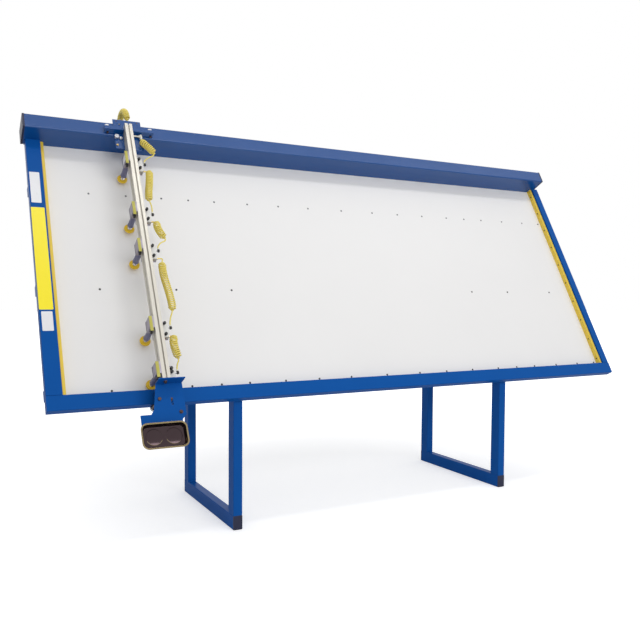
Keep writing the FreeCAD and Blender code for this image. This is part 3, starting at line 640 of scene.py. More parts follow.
def finish_of(name):
    """The material of a finish, made at its first use."""
    if name in MADE:
        return MADE[name]
    _, mottle, gloss, metal, (scale, strength, depth), wear = FINISHES[name]
    made = MADE[name] = bpy.data.materials.new(name + "_finish")
    made.use_nodes = True
    tree = made.node_tree
    tone = add(tree, "ShaderNodeGroup", {
        "Colour": (*colour_of(name), 1.0), "Spread": mottle[0], "Scale": mottle[1],
    }, node_tree=shared("Mottle"))
    rough = add(tree, "ShaderNodeMapRange", {
        "Value": tone.outputs["Mask"], "To Min": gloss[0], "To Max": gloss[1],
    })
    base = tone.outputs["Colour"]
    if wear:
        edge = add(tree, "ShaderNodeGroup", {
            "Width": bpy.context.scene.face_frame_finishes.wear, "Amount": wear[0],
        }, node_tree=shared("Edge wear"))
        blend = add(tree, "ShaderNodeMix", {
            "Factor": edge.outputs["Mask"], "A": base, "B": (*wear[1], 1.0),
        }, data_type="RGBA")
        base = blend.outputs["Result"]
    relief = add(tree, "ShaderNodeGroup", {
        "Scale": scale if isinstance(scale, tuple) else (scale, scale, scale),
    }, node_tree=shared("Grain"))
    bump = add(tree, "ShaderNodeBump", {
        "Height": relief.outputs["Height"], "Strength": strength, "Distance": depth,
    })
    feed(tree, tree.nodes["Principled BSDF"], {
        "Base Color": base, "Roughness": rough.outputs["Result"], "Metallic": metal,
        "Specular IOR Level": SPECULAR.get(name, USUAL_SPECULAR), "Normal": bump.outputs["Normal"],
    })
    return made


# Hoses

def guide(points):
    """Even points on the smooth line that a route pulls towards its points."""
    curve = bpy.data.curves.new("guide", "CURVE")
    curve.dimensions = "3D"
    curve.resolution_u = 64
    spline = curve.splines.new("NURBS")
    spline.points.add(len(points) - 1)
    for point, place in zip(spline.points, points):
        point.co = (*place, 1.0)
    spline.order_u = 3
    spline.use_endpoint_u = True
    holder = bpy.data.objects.new("guide", curve)
    mesh = bpy.data.meshes.new_from_object(holder)
    places = [vertex.co.copy() for vertex in mesh.vertices]
    bpy.data.objects.remove(holder)
    bpy.data.curves.remove(curve)
    bpy.data.meshes.remove(mesh)
    return places


def length_of(line):
    return sum((there - here).length for here, there in zip(line, line[1:]))


def follow(places):
    """A function that gives the point at a share of a line's length."""
    lengths = [0.0]
    for here, there in zip(places, places[1:]):
        lengths.append(lengths[-1] + (there - here).length)

    def point(share):
        wanted = min(max(share, 0.0), 1.0) * lengths[-1]
        low, high = 0, len(lengths) - 1
        while high - low > 1:
            middle = (low + high) // 2
            if lengths[middle] <= wanted:
                low = middle
            else:
                high = middle
        part = (wanted - lengths[low]) / (lengths[high] - lengths[low])
        return places[low].lerp(places[high], part)

    return point


def coil_line(start, route, end, begins, ends, radius, reference, pitch, tail_turns=LEAD_TURNS):
    """Centreline of a hose: straight lead, coil round the route, straight lead."""
    steps_per_turn = bpy.context.scene.face_frame_hoses.steps
    places = guide(route)
    turns = max(round(length_of(places) * (ends - begins) / pitch), LEAST_TURNS)
    point = follow(places)
    wound_steps = turns * steps_per_turn
    shares = [begins * step / TAIL_STEPS for step in range(TAIL_STEPS)] if begins else []
    shares += [begins + (ends - begins) * step / wound_steps for step in range(wound_steps)]
    shares += [ends + (1 - ends) * step / TAIL_STEPS for step in range(TAIL_STEPS + 1)]
    line = [start.lerp(route[0], part / LEAD_STEPS) for part in range(LEAD_STEPS)]
    for t in shares:
        heading = (point(t + HEADING_SHARE) - point(t - HEADING_SHARE)).normalized()
        first = (reference - heading * reference.dot(heading)).normalized()
        second = heading.cross(first)
        wound = min(max(t - begins, 0) / (ends - begins), 1) * turns
        near = min(wound / LEAD_TURNS, (turns - wound) / tail_turns, 1)
        reach = radius * near * near * (3 - 2 * near)
        turn = 2 * math.pi * wound
        line.append(point(t) + first * (reach * math.cos(turn)) + second * (reach * math.sin(turn)))
    line += [route[-1].lerp(end, part / LEAD_STEPS) for part in range(1, LEAD_STEPS + 1)]
    return line


def tube(name, line, radius, sides=10):
    """A round tube along a line, with an even roll and a UV along its length."""
    build = bmesh.new()
    uv = build.loops.layers.uv.new("UVMap")
    rings = []
    across = (line[1] - line[0]).orthogonal().normalized()
    run = 0.0
    runs = []
    for index, place in enumerate(line):
        ahead = line[min(index + 1, len(line) - 1)]
        behind = line[max(index - 1, 0)]
        heading = (ahead - behind).normalized()
        across = (across - heading * across.dot(heading)).normalized()
        other = heading.cross(across)
        if index:
            run += (place - line[index - 1]).length
        runs.append(run)
        rings.append([
            build.verts.new(place + (across * math.cos(a) + other * math.sin(a)) * radius)
            for a in (2 * math.pi * side / sides for side in range(sides))
        ])
    for index in range(len(rings) - 1):
        low, high = rings[index], rings[index + 1]
        for side in range(sides):
            after = (side + 1) % sides
            face = build.faces.new((low[side], low[after], high[after], high[side]))
            face.smooth = True
            left, right = side / sides, (side + 1) / sides
            corners = (
                (left, runs[index]), (right, runs[index]), (right, runs[index + 1]), (left, runs[index + 1]),
            )
            for loop, corner in zip(face.loops, corners):
                loop[uv].uv = corner
    build.faces.new(list(reversed(rings[0])))
    build.faces.new(rings[-1])
    bmesh.ops.recalc_face_normals(build, faces=build.faces)
    piece = collect(build, name)
    piece.data.materials.append(finish_of("hose"))
    return piece


def head_hose_line(number):
    lead = 2 * HOSE_RADIUS * LEAD_DIAMETERS
    if number == 0:
        top = FIRST_PORT_FOOT
        start = at(FIRST_PORT_X, PORT_N, top)
        route = [at(FIRST_PORT_X, PORT_N, top - lead)]
    else:
        top = HEAD_LEVELS[number - 1] - OUTLET_BELOW
        start = at(OUTLET_X, PORT_N, top)
        route = [at(OUTLET_X + lead, PORT_N, top)]
    foot = HEAD_LEVELS[number] + INLET_TOP
    for right, out, fall in ROUTE_SHARES[number]:
        route.append(at(
            INLET_X + right * COIL_RADIUS, PORT_N + out * COIL_RADIUS, top + fall * (foot - top),
        ))
    route.append(at(INLET_X, PORT_N, foot + lead))
    out_of_panel = (at(0, 1, 0) - at(0, 0, 0)).normalized()
    return coil_line(
        start, route, at(INLET_X, PORT_N, foot), COIL_BEGINS[number], COIL_ENDS[number],
        COIL_RADIUS * MM, -out_of_panel, bpy.context.scene.face_frame_hoses.pitch,
    )


def supply_line():
    lead = 2 * SUPPLY_RADIUS * LEAD_DIAMETERS * MM
    start = at(SUPPLY_X, SUPPLY_N, SUPPLY_U)
    end = start + Vector((0, SUPPLY_BACK, -SUPPLY_FALL)) * MM
    up = (at(0, 0, 1) - at(0, 0, 0)).normalized()
    down = Vector((0, 0, -1))
    first = start + up * lead
    last = end - down * lead
    route = [first, first + up * SUPPLY_RISE * MM, last - down * SUPPLY_DROOP * MM, last]
    return coil_line(
        start, route, end, 0.0, SUPPLY_SHARE, SUPPLY_COIL_RADIUS * MM, Vector((1, 0, 0)),
        bpy.context.scene.face_frame_hoses.supply_pitch, SUPPLY_TAIL_TURNS,
    )


class FACEFRAME_OT_nodes(bpy.types.Operator):
    """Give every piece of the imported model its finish"""
    bl_idname = "faceframe.nodes"
    bl_label = "Finish the steelwork"

    def execute(self, context):
        slots = {entry["node"]: entry["material_slot"] for entry in frame["record"]["subparts"]}
        # The beam and the upper bracket take the copy of the powder coat that carries the painted sheen
        slots.update({
            "top_beam": "beam_paint", "upper_bracket": "beam_paint", "beam_caps": "navy_plastic",
            "runner_caps": "navy_plastic", "axles": "dark_bolt",
        })
        for name, piece in frame["nodes"].items():
            piece.data.materials.clear()
            piece.data.materials.append(finish_of(slots[name]))
        return {"FINISHED"}


class FACEFRAME_OT_head_hoses(bpy.types.Operator):
    """Build the five coiled hoses that pass the air from head to head"""
    bl_idname = "faceframe.head_hoses"
    bl_label = "Head hoses"

    def execute(self, context):
        for number in range(len(HEAD_LEVELS)):
            line = head_hose_line(number)
            head = "head_%d" % (number + 1)
            if number == 0:
                parts = [("", line, "carriage", head)]
            else:
                above = "head_%d" % number
                half = len(line) // 2
                parts = [
                    ("_upper", line[:half + 1], above, "carriage"), ("_lower", line[half:], "carriage", head),
                ]
            for mark, part, before, after in parts:
                piece = tube("coil_hose_%d%s" % (number + 1, mark), part, HOSE_RADIUS * MM)
                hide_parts("head_hoses")
                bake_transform(piece)
        return {"FINISHED"}


class FACEFRAME_OT_supply_hose(bpy.types.Operator):
    """Build the coiled hose that brings the workshop's air to the carriage"""
    bl_idname = "faceframe.supply_hose"
    bl_label = "Supply hose"

    def execute(self, context):
        line = supply_line()
        piece = tube("coil_hose_supply", line, SUPPLY_RADIUS * MM)
        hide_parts("supply_hose")
        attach(piece, "carriage")
        return {"FINISHED"}


# Clamp heads

def socket_bolt(build, base, axis, radius, height):
    """A cap screw with a socket in its head."""
    rim, socket = radius * 0.86, radius * 0.48
    turned(build, base, axis, (
        (0, radius), (height * 0.86, radius), (height, rim), (height, socket), (height * 0.4, socket),
    ), 16)


class FACEFRAME_OT_heads(bpy.types.Operator):
    """Build the saddles, blocks, cylinders and valves of the five heads"""
    bl_idname = "faceframe.heads"
    bl_label = "Clamp heads"

    def execute(self, context):
        for number, level in enumerate(HEAD_LEVELS):
            self.head(number + 1, level, level - SADDLE_BELOW[number], level + SADDLE_ABOVE)
        return {"FINISHED"}

    def head(self, mark, level, low, high):
        node = "head_%d" % mark
        step = level - BLOCK_BELOW
        build = bmesh.new()
        block(build, BLOCK_LEFT, VALVE_RIGHT, SADDLE_BACK, SADDLE_FRONT, step, high, 1)
        block(build, EXTRUSION_LEFT, VALVE_RIGHT, SADDLE_BACK, SADDLE_FRONT, low, step + BLOCK_LAP, 1)
        block(build, BLOCK_LEFT, BLOCK_RIGHT, SADDLE_BACK, BLOCK_FRONT, step, high, 1.6)
        for n in BLOCK_BOLTS_N:
            socket_bolt(build, local(BLOCK_LEFT + 0.6, n, level + BLOCK_BOLTS_ABOVE), -ALONG_X, 3.4, 2.6)
        finish(build, "saddle_%d" % mark, "head_metal", node, (node,))
        build = bmesh.new()
        turned(build, local(HEAD_X, 0, level), OUT, (
            (10, 6.3), (10, 15.6), (11.2, 17), (17, 17), (18.2, 16), (20, 15.6), (40, 15.1), (58, 14.6),
            (58.8, 13.6), (61.2, 13.6), (62, 14.5), (75, 14.2), (76, 13), (78, 13), (99, 12.6), (100, 11.8),
            (100, 6.3),
        ), 36, closed=False)
        finish(build, "cylinder_%d" % mark, "bell_enamel", node, (node,))
        self.valve(mark, node, low + VALVE_FOOT, level + VALVE_ABOVE)
        if mark < len(HEAD_LEVELS):
            base = local(KNOB_X, PORT_N, low + SILENCER_RISE)
            turned_piece(
                "silencer_%d" % mark, "bronze", "brass", node, node,
                (base, -UP, ((0, 5), (1.6, 5), (2, 4.4)), 6),
                (base, -UP, ((1.9, 3.6), (6.4, 3.4), (7.4, 2.6)), 18),
            )
        build = bmesh.new()
        block(build, STRIP_LEFT, STRIP_RIGHT, BLOCK_FRONT, STRIP_FRONT, level - STRIP_BELOW, high, 0.8)
        finish(build, "scale_%d" % mark, "scale_strip", node, (node,))
        turned_piece("cylinder_elbow_%d" % mark, "black_plastic", "black_plastic", node, node, (
            local(ELBOW_X, ELBOW_N, step), -UP,
            ((0, 6), (5, 6), (5.5, 8), (9, 8), (9.6, 7), (19, 7), (20.5, 6), (22, 4.4)), 20,
        ))
        if mark == 1:
            # Only the first head's block gets the white sheet: a painted highlight on its side face
            back, front, below, above = SIDE_HIGHLIGHT_PLATE
            build = bmesh.new()
            block(
                build, BLOCK_LEFT - SIDE_HIGHLIGHT_PLATE_THICK, BLOCK_LEFT, back, front,
                level + below, level + above, 0.2,
            )
            finish(build, "side_plate_%d" % mark, "white_label", node, (node,))

    def valve(self, mark, node, low, high):
        build = bmesh.new()
        block(build, VALVE_LEFT, VALVE_RIGHT, SADDLE_FRONT, VALVE_FRONT, low, high, 1.6)
        for u in (low, high - VALVE_CAP):
            block(
                build, VALVE_LEFT - 0.2, VALVE_RIGHT + 0.2, SADDLE_FRONT, VALVE_FRONT - VALVE_CAP_BEHIND,
                u, u + VALVE_CAP, 0.8,
            )
        finish(build, "valve_%d" % mark, "valve_white", node, (node,))


class FACEFRAME_OT_pads(bpy.types.Operator):
    """Build the hold-down pads and their rods"""
    bl_idname = "faceframe.pads"
    bl_label = "Hold-down pads"

    def execute(self, context):
        for mark, level in enumerate(HEAD_LEVELS, 1):
            node = "pad_%d" % mark
            centre = local(HEAD_X, 0, level)
            turned_piece("pad_rubber_%d" % mark, "yellow_pad", "yellow_pad", node, node, (
                centre, OUT,
                ((PAD_FACE, 23.5), (PAD_FACE + 0.7, 25.4), (PAD_FACE + 3, 28), (PAD_FACE + 6.5, 28),
                 (PAD_BACK - 1.4, 27.2), (PAD_BACK, 25.6)), 40,
            ))
            turned_piece("pad_rod_%d" % mark, "roller_steel", "roller_steel", node, node, (
                centre, OUT,
                ((PAD_BACK, 10.5), (PAD_BACK + 2.4, 10.5), (PAD_BACK + 3, 9.8), (PAD_BACK + 3, 6),
                 (PAD_BACK + 69.4, 6), (PAD_BACK + 70, 5.4)), 28,
            ))
        return {"FINISHED"}


class FACEFRAME_OT_knobs(bpy.types.Operator):
    """Build the fluted lock knobs of the valves"""
    bl_idname = "faceframe.knobs"
    bl_label = "Lock knobs"

    def execute(self, context):
        for number, level in enumerate(HEAD_LEVELS):
            for kind, u in (("upper", level + KNOB_ABOVE), ("lower", level - KNOB_BELOW[number])):
                self.knob("knob_%s_%d" % (kind, number + 1), u)
        return {"FINISHED"}

    def knob(self, node, u):
        build = bmesh.new()
        centre = local(KNOB_X, 0, u)
        turned(build, centre, OUT, (
            (KNOB_BACK, 7), (KNOB_BACK + 1.2, 8), (KNOB_FRONT - 2.5, 7.4), (KNOB_FRONT - 0.6, 6.4),
            (KNOB_FRONT, 5),
        ), 28)
        for vert in build.verts:
            away = Vector((vert.co.x, 0, vert.co.z)) - centre
            if away.length > FLUTED_OUTSIDE:
                turn = math.atan2(away.z, away.x)
                away *= -FLUTE_DEPTH * (0.5 + 0.5 * math.cos(FLUTES * turn))
                vert.co.x += away.x
                vert.co.z += away.z
        turned(build, centre, OUT, ((VALVE_FRONT + 0.3, 3.5), (KNOB_BACK, 3.5)), 14)
        finish(build, node + "_grip", "black_plastic", node, (node,))


class FACEFRAME_OT_head_fittings(bpy.types.Operator):
    """Build the elbows and outlets that the hoses run into"""
    bl_idname = "faceframe.head_fittings"
    bl_label = "Hose fittings of the heads"

    def execute(self, context):
        for mark, level in enumerate(HEAD_LEVELS, 1):
            node = "hose_fittings_%d" % mark
            body = "head_%d" % mark
            inlet = local(INLET_X, PORT_N, level + INLET_ABOVE)
            turned_piece("fitting_arm_%d" % mark, "steel", "steel", body, node, (
                local(VALVE_RIGHT, PORT_N, level + INLET_ABOVE), ALONG_X,
                ((0, 4.6), (2.6, 4.6), (3, 3.6), (15.7, 3.6)), 18,
            ))
            turned_piece("fitting_elbow_%d" % mark, "black_plastic", "black_plastic", body, node, (
                inlet, UP, ((-6, 5.2), (-4.6, 6.8), (-1, 7.4), (4, 7.4), (7, 6.6), (8.2, 5.6)), 22,
            ))
            turned_piece("fitting_collar_%d" % mark, "pale_nylon", "hose", body, node, (
                inlet, UP, ((8, 5), (10, 5), (10.6, 6.2), (14.6, 6.2), (15.6, 5.4), (16, 4.4)), 22,
            ))
            if mark < len(HEAD_LEVELS):
                base = local(VALVE_RIGHT, PORT_N, level - OUTLET_BELOW)
                turned_piece(
                    "fitting_outlet_%d" % mark, "brass", "brass", body, node,
                    (base, ALONG_X, ((0, 6), (4.6, 6), (5.2, 5.2)), 6),
                    (base, ALONG_X, ((5, 5), (7.6, 5), (9, 4.4)), 20),
                )
        return {"FINISHED"}


# Carriage

class FACEFRAME_OT_air_fittings(bpy.types.Operator):
    """Build the coupling, the vent and the two ports of the upper plate"""
    bl_idname = "faceframe.air_fittings"
    bl_label = "Air fittings"

    def execute(self, context):
        node = "air_fittings"
        coupling = local(CARRIAGE_X - COUPLING_OFFSET, PLATE_FRONT, SLOPE_LENGTH - COUPLING_BELOW)
        turned_piece(
            "air_coupling", "steel", "steel", "carriage", node,
            (coupling, OUT, ((0, 9), (5, 9), (5.4, 8.4)), 6),
            (coupling, OUT,
             ((5.2, 7.2), (8, 7.2), (8.5, 8.2), (11.2, 8.2), (12, 7.4), (12, 3.4), (7.5, 3.2)), 24),
        )
        vent = local(CARRIAGE_X - GAUGE_OFFSET, PLATE_FRONT, SLOPE_LENGTH - VENT_BELOW)
        turned_piece(
            "air_vent", "brass", "brass", "carriage", node,
            (vent, OUT, ((0, 7), (3.6, 7), (4, 6.2)), 6),
            (vent, OUT, ((3.8, 5.4), (6, 5.8), (8, 4.6), (9, 2.6)), 20),
        )
        arm_level = SLOPE_LENGTH - FIRST_PORT_BELOW
        arm = local(EXTRUSION_RIGHT, PORT_N, arm_level)
        turned_piece(
            "first_port", "pale_nylon", "white_board", "carriage", node,
            (local(FIRST_PORT_X, 0, arm_level), OUT, ((PLATE_FRONT, 6), (PORT_N, 6)), 6),
            (local(FIRST_PORT_X, PORT_N, FIRST_PORT_FOOT), UP,
             ((0, 6.2), (1.2, 7.2), (6, 7.2), (6.6, 6), (9, 6), (9.8, 8), (27.5, 8), (29.4, 7),
              (30, 5.4)), 24),
            (arm, ALONG_X, ((0.2, 7), (7, 7), (7.4, 6.2)), 6),
            (arm, ALONG_X, ((7, 4.6), (40, 4.6), (42, 6.4), (52, 6.4)), 20),
        )
        turned_piece(
            "supply_elbow", "brass", "brass", "carriage", node,
            (local(SUPPLY_X, 0, SUPPLY_U - 10), OUT,
             ((SUPPLY_N - 6, 4.6), (SUPPLY_N - 4.6, 6), (SUPPLY_N + 6, 6), (SUPPLY_N + 6, 4.8),
              (SUPPLY_FOOT_N, 4.8)), 20),
            (local(SUPPLY_X, SUPPLY_N, SUPPLY_U), -UP, ((0, 5), (1, 6), (5, 6), (5.6, 5), (10, 5)), 20),
        )
        return {"FINISHED"}


class FACEFRAME_OT_gauge(bpy.types.Operator):
    """Build the pressure gauge with its dial and needle"""
    bl_idname = "faceframe.gauge"
    bl_label = "Pressure gauge"

    def execute(self, context):
        node = "pressure_gauge"
        x, u, face = CARRIAGE_X - GAUGE_OFFSET, SLOPE_LENGTH - GAUGE_BELOW, PLATE_FRONT + DIAL_FRONT
        turned_piece("gauge_case", "steel", "steel", "carriage", node, (
            local(x, PLATE_FRONT, u), OUT,
            ((0, 11.6), (11, 11.9), (12, 12.5), (15.2, 12.5), (16, 11.9), (16, 10.6), (14.4, 10.4)), 40,
        ))
        turned_piece("gauge_dial", "white_label", "white_board", "carriage", node, (
            local(x, PLATE_FRONT + DIAL_BACK, u), OUT, ((0, 10.4), (0.3, 10.4)), 40,
        ))
        build = bmesh.new()
        for tick in range(TICKS):
            inner = LONG_TICK_INNER if tick % 5 == 0 else TICK_INNER
            size = (TICK_OUTER - inner, 0.2, 0.5)
            self.mark(build, x, face + 0.1, u, FIRST_TICK - TICK_STEP * tick, (inner + TICK_OUTER) / 2, size)
        self.mark(build, x, face + 0.35, u, NEEDLE_TURN, NEEDLE_REACH, (9, 0.25, 0.9))
        turned(build, local(x, face, u), OUT, ((0, 1.4), (0.8, 1.2)), 16)
        finish(build, "gauge_needle", "black_plastic", "carriage", (node,))
        return {"FINISHED"}

    def mark(self, build, x, n, u, degrees, reach, size):
        """A thin bar on the dial that points away from its middle."""
        turn = math.radians(degrees)
        cube(build, local(x + reach * math.cos(turn), n, u + reach * math.sin(turn)), size, turn)


def edges_of_corners(verts, axis):
    """The edges among some vertices that run along an axis."""
    found = set()
    for vert in verts:
        for edge in vert.link_edges:
            run = edge.verts[1].co - edge.verts[0].co
            if run.cross(axis).length < 0.001 * run.length:
                found.add(edge)
    return list(found)


class FACEFRAME_OT_parts_tray(bpy.types.Operator):
    """Build the pressed steel parts tray on its two magnets"""
    bl_idname = "faceframe.parts_tray"
    bl_label = "Parts tray"

    def execute(self, context):
        floor = TRAY_BACK + TRAY_WALL
        build = bmesh.new()
        middle = local(TRAY_X, TRAY_FRONT - TRAY_WALL / 2, TRAY_LEVEL)
        verts = cube(build, middle, (TRAY_WIDTH, TRAY_WALL, TRAY_HEIGHT))
        rounded_edges(build, edges_of_corners(verts, OUT), TRAY_CORNER, 10)
        build.faces.ensure_lookup_table()
        outer = max(build.faces, key=lambda face: face.calc_area() * (face.normal.dot(-OUT) > 0.9))
        inner = max(build.faces, key=lambda face: face.calc_area() * (face.normal.dot(OUT) > 0.9))
        self.sink(build, outer, TRAY_RIM_OUTSIDE, TRAY_BACK)
        self.sink(build, inner, TRAY_RIM_INSIDE, floor)
        bmesh.ops.remove_doubles(build, verts=build.verts, dist=0.01)
        rim_back = TRAY_FRONT - TRAY_WALL - 0.1
        rim = [face for face in build.faces if all(-vert.co.y > rim_back for vert in face.verts)]
        build.normal_update()
        for face in rim:
            face.material_index = 1
        dish_faces = len(build.faces)
        for side in (-1, 1):
            turned(build, local(TRAY_X + side * MAGNET_OFFSET, 0, TRAY_LEVEL), OUT, (
                (floor - 0.2, 39.8), (floor + 1.3, 37.6), (floor + 1.5, 36.6), (floor + 1.5, 0),
            ), 48, closed=False)
        build.faces.ensure_lookup_table()
        # The lower flanks of the bosses take the rim's colour: a painted highlight
        for face in build.faces[dish_faces:]:
            low = face.calc_center_median().z < TRAY_LEVEL - BOSS_PAINTED_HIGHLIGHT_BELOW
            if abs(face.normal.dot(OUT)) < 0.98 and low:
                face.material_index = 1
        tray = finish(build, "tray_dish", ("tray", "tray_rim"), "carriage", ("parts_tray",))
        soften = tray.modifiers.new("pressed edges", "BEVEL")
        soften.width = TRAY_SOFT_EDGE * MM
        soften.segments = 3
        soften.limit_method = "ANGLE"
        soften.angle_limit = math.radians(35)
        magnet = ((PLATE_FRONT, 38.6), (PLATE_FRONT + 1.4, 40), (TRAY_BACK - 1.4, 40), (TRAY_BACK, 38.6))
        turned_piece("tray_magnets", "black_plastic", "black_plastic", "carriage", "parts_tray", *(
            (local(TRAY_X + side * MAGNET_OFFSET, 0, TRAY_LEVEL), OUT, magnet, 40) for side in (-1, 1)
        ))
        return {"FINISHED"}

    def sink(self, build, face, inset, depth):
        """Press a face of the sheet in from its rim to a depth, a little narrower there."""
        bmesh.ops.inset_individual(build, faces=[face], thickness=inset, use_even_offset=True)
        shape = bmesh.ops.extrude_face_region(build, geom=[face])
        verts = [each for each in shape["geom"] if isinstance(each, bmesh.types.BMVert)]
        bmesh.ops.delete(build, geom=[face], context="FACES_ONLY")
        width, height = TRAY_WIDTH - 2 * inset, TRAY_HEIGHT - 2 * inset
        for vert in verts:
            vert.co.x = TRAY_X + (vert.co.x - TRAY_X) * ((width - TRAY_NARROWING) / width)
            vert.co.z = TRAY_LEVEL + (vert.co.z - TRAY_LEVEL) * ((height - TRAY_NARROWING) / height)
            vert.co.y = -depth


class FACEFRAME_OT_bracket_bolts(bpy.types.Operator):
    """Build the bolts and washers of the two plates"""
    bl_idname = "faceframe.bracket_bolts"
    bl_label = "Bolts of the plates"

    def execute(self, context):
        build = bmesh.new()
        corner = local(CORNER_BOLT_X, PLATE_FRONT, CORNER_BOLT_LEVEL)
        turned(build, corner, OUT, ((0, 9.6), (1.4, 9.2)), 24)
        socket_bolt(build, corner + OUT * 1.3, OUT, 7, 6)
        below_shelf = local(CARRIAGE_X, SHELF_BOLT_N, FLANGE_TOP - SHELF_THICK)
        turned(build, below_shelf, -UP, ((0, 10.4), (1.6, 10)), 24)
        socket_bolt(build, below_shelf - UP * 1.5, -UP, 7.5, 8)
        finish(build, "plate_bolts", "dark_bolt", "carriage")
        build = bmesh.new()
        for x in (CARRIAGE_X - UPPER_BOLT_OFFSET, CARRIAGE_X + UPPER_BOLT_OFFSET):
            socket_bolt(build, local(x, PLATE_FRONT, UPPER_BOLT_LEVEL), OUT, 4.6, 4.2)
        finish(build, "upper_plate_bolts", "grey_screw", "carriage")
        return {"FINISHED"}


# Table

def screw(build, base, radius):
    """A low domed head with a recess."""
    turned(build, base, OUT, (
        (0, radius), (radius * 0.2, radius * 0.95), (radius * 0.42, radius * 0.6),
        (radius * 0.45, radius * 0.3), (radius * 0.2, radius * 0.16), (radius * 0.2, 0),
    ), 12, closed=False)


class FACEFRAME_OT_panel_screws(bpy.types.Operator):
    """Build the three rows of screws that hold the panel"""
    bl_idname = "faceframe.panel_screws"
    bl_label = "Panel screws"

    def execute(self, context):
        radius = context.scene.face_frame_fasteners.screw_radius / MM
        build = bmesh.new()
        for x in SCREW_COLUMNS:
            screw(build, local(x, PANEL_FRONT, TOP_ROW), radius)
        finish(build, "panel_screws_top", "grey_screw", "frame")
        build = bmesh.new()
        for x in MIDDLE_COLUMNS:
            screw(build, local(x, PANEL_FRONT, MIDDLE_ROW), radius)
        for x in LOW_COLUMNS:
            screw(build, local(x, PANEL_FRONT, LOW_ROW), radius)
        finish(build, "panel_screws_low", "black_plastic", "frame")
        return {"FINISHED"}


class FACEFRAME_OT_fence_screws(bpy.types.Operator):
    """Build the screws in the inner faces of the two fences"""
    bl_idname = "faceframe.fence_screws"
    bl_label = "Fence screws"

    def execute(self, context):
        spacing = context.scene.face_frame_fasteners.fence_spacing / MM
        count = int((SLOPE_LENGTH - FENCE_COUNT_FREE) // spacing)
        build = bmesh.new()
        for index in range(count + 1):
            u = FENCE_SCREW_FOOT + index * (SLOPE_LENGTH - FENCE_ROW_FREE) / count
            for x, side in ((FENCE_RIGHT - FENCE_WIDTH, -ALONG_X), (FENCE_LEFT + FENCE_WIDTH, ALONG_X)):
                turned(build, local(x, FENCE_SCREW_N, u), side, (
                    (0, 5), (1.2, 4.6), (1.8, 2.8), (1, 1.2), (1, 0),
                ), 12, closed=False)
        finish(build, "fence_screws", "black_plastic", "frame")
        return {"FINISHED"}


class FACEFRAME_OT_labels(bpy.types.Operator):
    """Build the bare plates on the left rail"""
    bl_idname = "faceframe.labels"
    bl_label = "Rail plates"

    def execute(self, context):
        for name, (look, slot, (x0, x1, u0, u1)) in RAIL_PLATES.items():
            build = bmesh.new()
            middle = local((x0 + x1) / 2, RAIL_PLATE_THICK / 2, (u0 + u1) / 2)
            verts = cube(build, middle, (x1 - x0, RAIL_PLATE_THICK, u1 - u0))
            rounded_edges(build, edges_of_corners(verts, OUT), RAIL_PLATE_CORNER, 4)
            finish(build, name, look, "frame")
        return {"FINISHED"}


# Stage

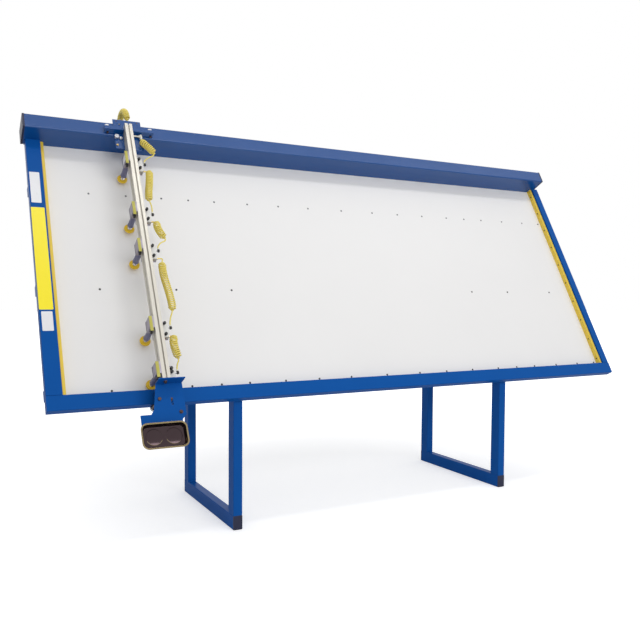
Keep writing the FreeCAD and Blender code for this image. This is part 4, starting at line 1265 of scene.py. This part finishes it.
class FACEFRAME_OT_stage(bpy.types.Operator):
    """Build the floor, the camera and the lights"""
    bl_idname = "faceframe.stage"
    bl_label = "Studio"

    def execute(self, context):
        scene = context.scene
        chosen = scene.face_frame_studio
        self.floor(chosen)
        self.camera(scene)
        self.room(scene, chosen)
        for name, (place, target, size) in LAMPS.items():
            self.lamp(scene, name, place, target, size, getattr(chosen, name))
        scene.view_settings.view_transform = "Standard"
        return {"FINISHED"}

    def floor(self, chosen):
        build = bmesh.new()
        bmesh.ops.create_grid(build, x_segments=8, y_segments=8, size=FLOOR_REACH)
        for vert in build.verts:
            vert.co.z = -FLOOR_DROP
        piece = collect(build, "floor")
        made = bpy.data.materials.new("floor")
        made.use_nodes = True
        tree = made.node_tree
        shader = tree.nodes["Principled BSDF"]
        feed(tree, shader, {
            "Roughness": 0.75, "Specular IOR Level": 0.1, "Base Color": (*chosen.floor, 1.0),
        })
        place = add(tree, "ShaderNodeTexCoord")
        away = add(tree, "ShaderNodeVectorMath", {0: place.outputs["Object"]}, operation="LENGTH")
        fade = add(tree, "ShaderNodeMapRange", {
            "Value": away.outputs["Value"], "From Min": GLOW_NEAR, "From Max": GLOW_FAR,
            "To Min": GLOW_LEAST, "To Max": GLOW_MOST,
        })
        glow = add(tree, "ShaderNodeEmission", {"Color": WHITE, "Strength": fade.outputs["Result"]})
        both = add(tree, "ShaderNodeAddShader", {0: shader.outputs["BSDF"], 1: glow.outputs["Emission"]})
        path = add(tree, "ShaderNodeLightPath")
        seen = add(tree, "ShaderNodeMixShader", {
            "Fac": path.outputs["Is Camera Ray"], 1: shader.outputs["BSDF"], 2: both.outputs["Shader"],
        })
        feed(tree, tree.nodes["Material Output"], {"Surface": seen.outputs["Shader"]})
        piece.data.materials.append(made)

    def camera(self, scene):
        lens = bpy.data.cameras.new("camera")
        lens.sensor_width = SENSOR_WIDTH
        lens.lens = FOCAL_LENGTH / PICTURE_WIDTH * SENSOR_WIDTH
        lens.shift_y = PICTURE_SHIFT / PICTURE_WIDTH
        lens.clip_end = 100.0
        holder = bpy.data.objects.new("camera", lens)
        scene.collection.objects.link(holder)
        turn = Matrix.Rotation(math.radians(CAMERA_TURN), 4, "Z")
        tip = Matrix.Rotation(math.radians(90 - CAMERA_DOWN), 4, "X")
        roll = Matrix.Rotation(math.radians(CAMERA_ROLL), 4, "Z")
        holder.matrix_world = Matrix.Translation(CAMERA_PLACE) @ turn @ tip @ roll
        scene.camera = holder

    def room(self, scene, chosen):
        world = bpy.data.worlds.new("room")
        scene.world = world
        world.use_nodes = True
        tree = world.node_tree
        plain = tree.nodes["Background"]
        feed(tree, plain, {"Color": ROOM_COLOUR, "Strength": chosen.sky})
        white = add(tree, "ShaderNodeBackground", {"Color": WHITE, "Strength": 1.0})
        path = add(tree, "ShaderNodeLightPath")
        either = add(tree, "ShaderNodeMath", {
            0: path.outputs["Is Camera Ray"], 1: path.outputs["Is Glossy Ray"],
        }, operation="MAXIMUM")
        any_of = add(tree, "ShaderNodeMath", {
            0: either.outputs[0], 1: path.outputs["Is Transmission Ray"],
        }, operation="MAXIMUM")
        mix = add(tree, "ShaderNodeMixShader", {
            "Fac": any_of.outputs[0], 1: plain.outputs["Background"], 2: white.outputs["Background"],
        })
        feed(tree, tree.nodes["World Output"], {"Surface": mix.outputs["Shader"]})

    def lamp(self, scene, name, place, target, size, power):
        light = bpy.data.lights.new(name, "AREA")
        light.shape = "RECTANGLE"
        light.size, light.size_y = size
        light.energy = power
        lamp = bpy.data.objects.new(name, light)
        scene.collection.objects.link(lamp)
        lamp.location = place
        lamp.rotation_euler = (Vector(target) - Vector(place)).to_track_quat("-Z", "Y").to_euler()


OPERATORS = (
    FACEFRAME_OT_stage, FACEFRAME_OT_supply_hose, FACEFRAME_OT_head_hoses, FACEFRAME_OT_nodes,
    FACEFRAME_OT_heads, FACEFRAME_OT_pads, FACEFRAME_OT_knobs, FACEFRAME_OT_head_fittings,
    FACEFRAME_OT_air_fittings, FACEFRAME_OT_gauge, FACEFRAME_OT_parts_tray, FACEFRAME_OT_bracket_bolts,
    FACEFRAME_OT_panel_screws, FACEFRAME_OT_fence_screws, FACEFRAME_OT_labels,
)


class FACEFRAME_PT_pieces(bpy.types.Panel):
    """Lists the pieces, sizes and finishes of the table"""
    bl_label = "Face frame table"
    bl_space_type = "VIEW_3D"
    bl_region_type = "UI"
    bl_category = "Face frame table"

    def draw(self, context):
        groups = ("face_frame_finishes", "face_frame_hoses", "face_frame_fasteners", "face_frame_studio")
        for settings in groups:
            group = getattr(context.scene, settings)
            column = self.layout.column(align=True)
            for name in group.__annotations__:
                column.prop(group, name)
        column = self.layout.column(align=True)
        for operator in OPERATORS:
            column.operator(operator.bl_idname)


SETTINGS = {
    "face_frame_hoses": HoseSettings,
    "face_frame_finishes": FinishSettings,
    "face_frame_fasteners": FastenerSettings,
    "face_frame_studio": StudioSettings,
}


def register():
    for made in (*SETTINGS.values(), *OPERATORS, FACEFRAME_PT_pieces):
        bpy.utils.register_class(made)
    for name, made in SETTINGS.items():
        setattr(bpy.types.Scene, name, PointerProperty(type=made))


def unregister():
    for name in SETTINGS:
        delattr(bpy.types.Scene, name)
    for made in (FACEFRAME_PT_pieces, *reversed(OPERATORS), *reversed(list(SETTINGS.values()))):
        bpy.utils.unregister_class(made)


def main():
    register()
    for operator in OPERATORS:
        group, name = operator.bl_idname.split(".")
        getattr(getattr(bpy.ops, group), name)()


if __name__ == "__main__":
    main()
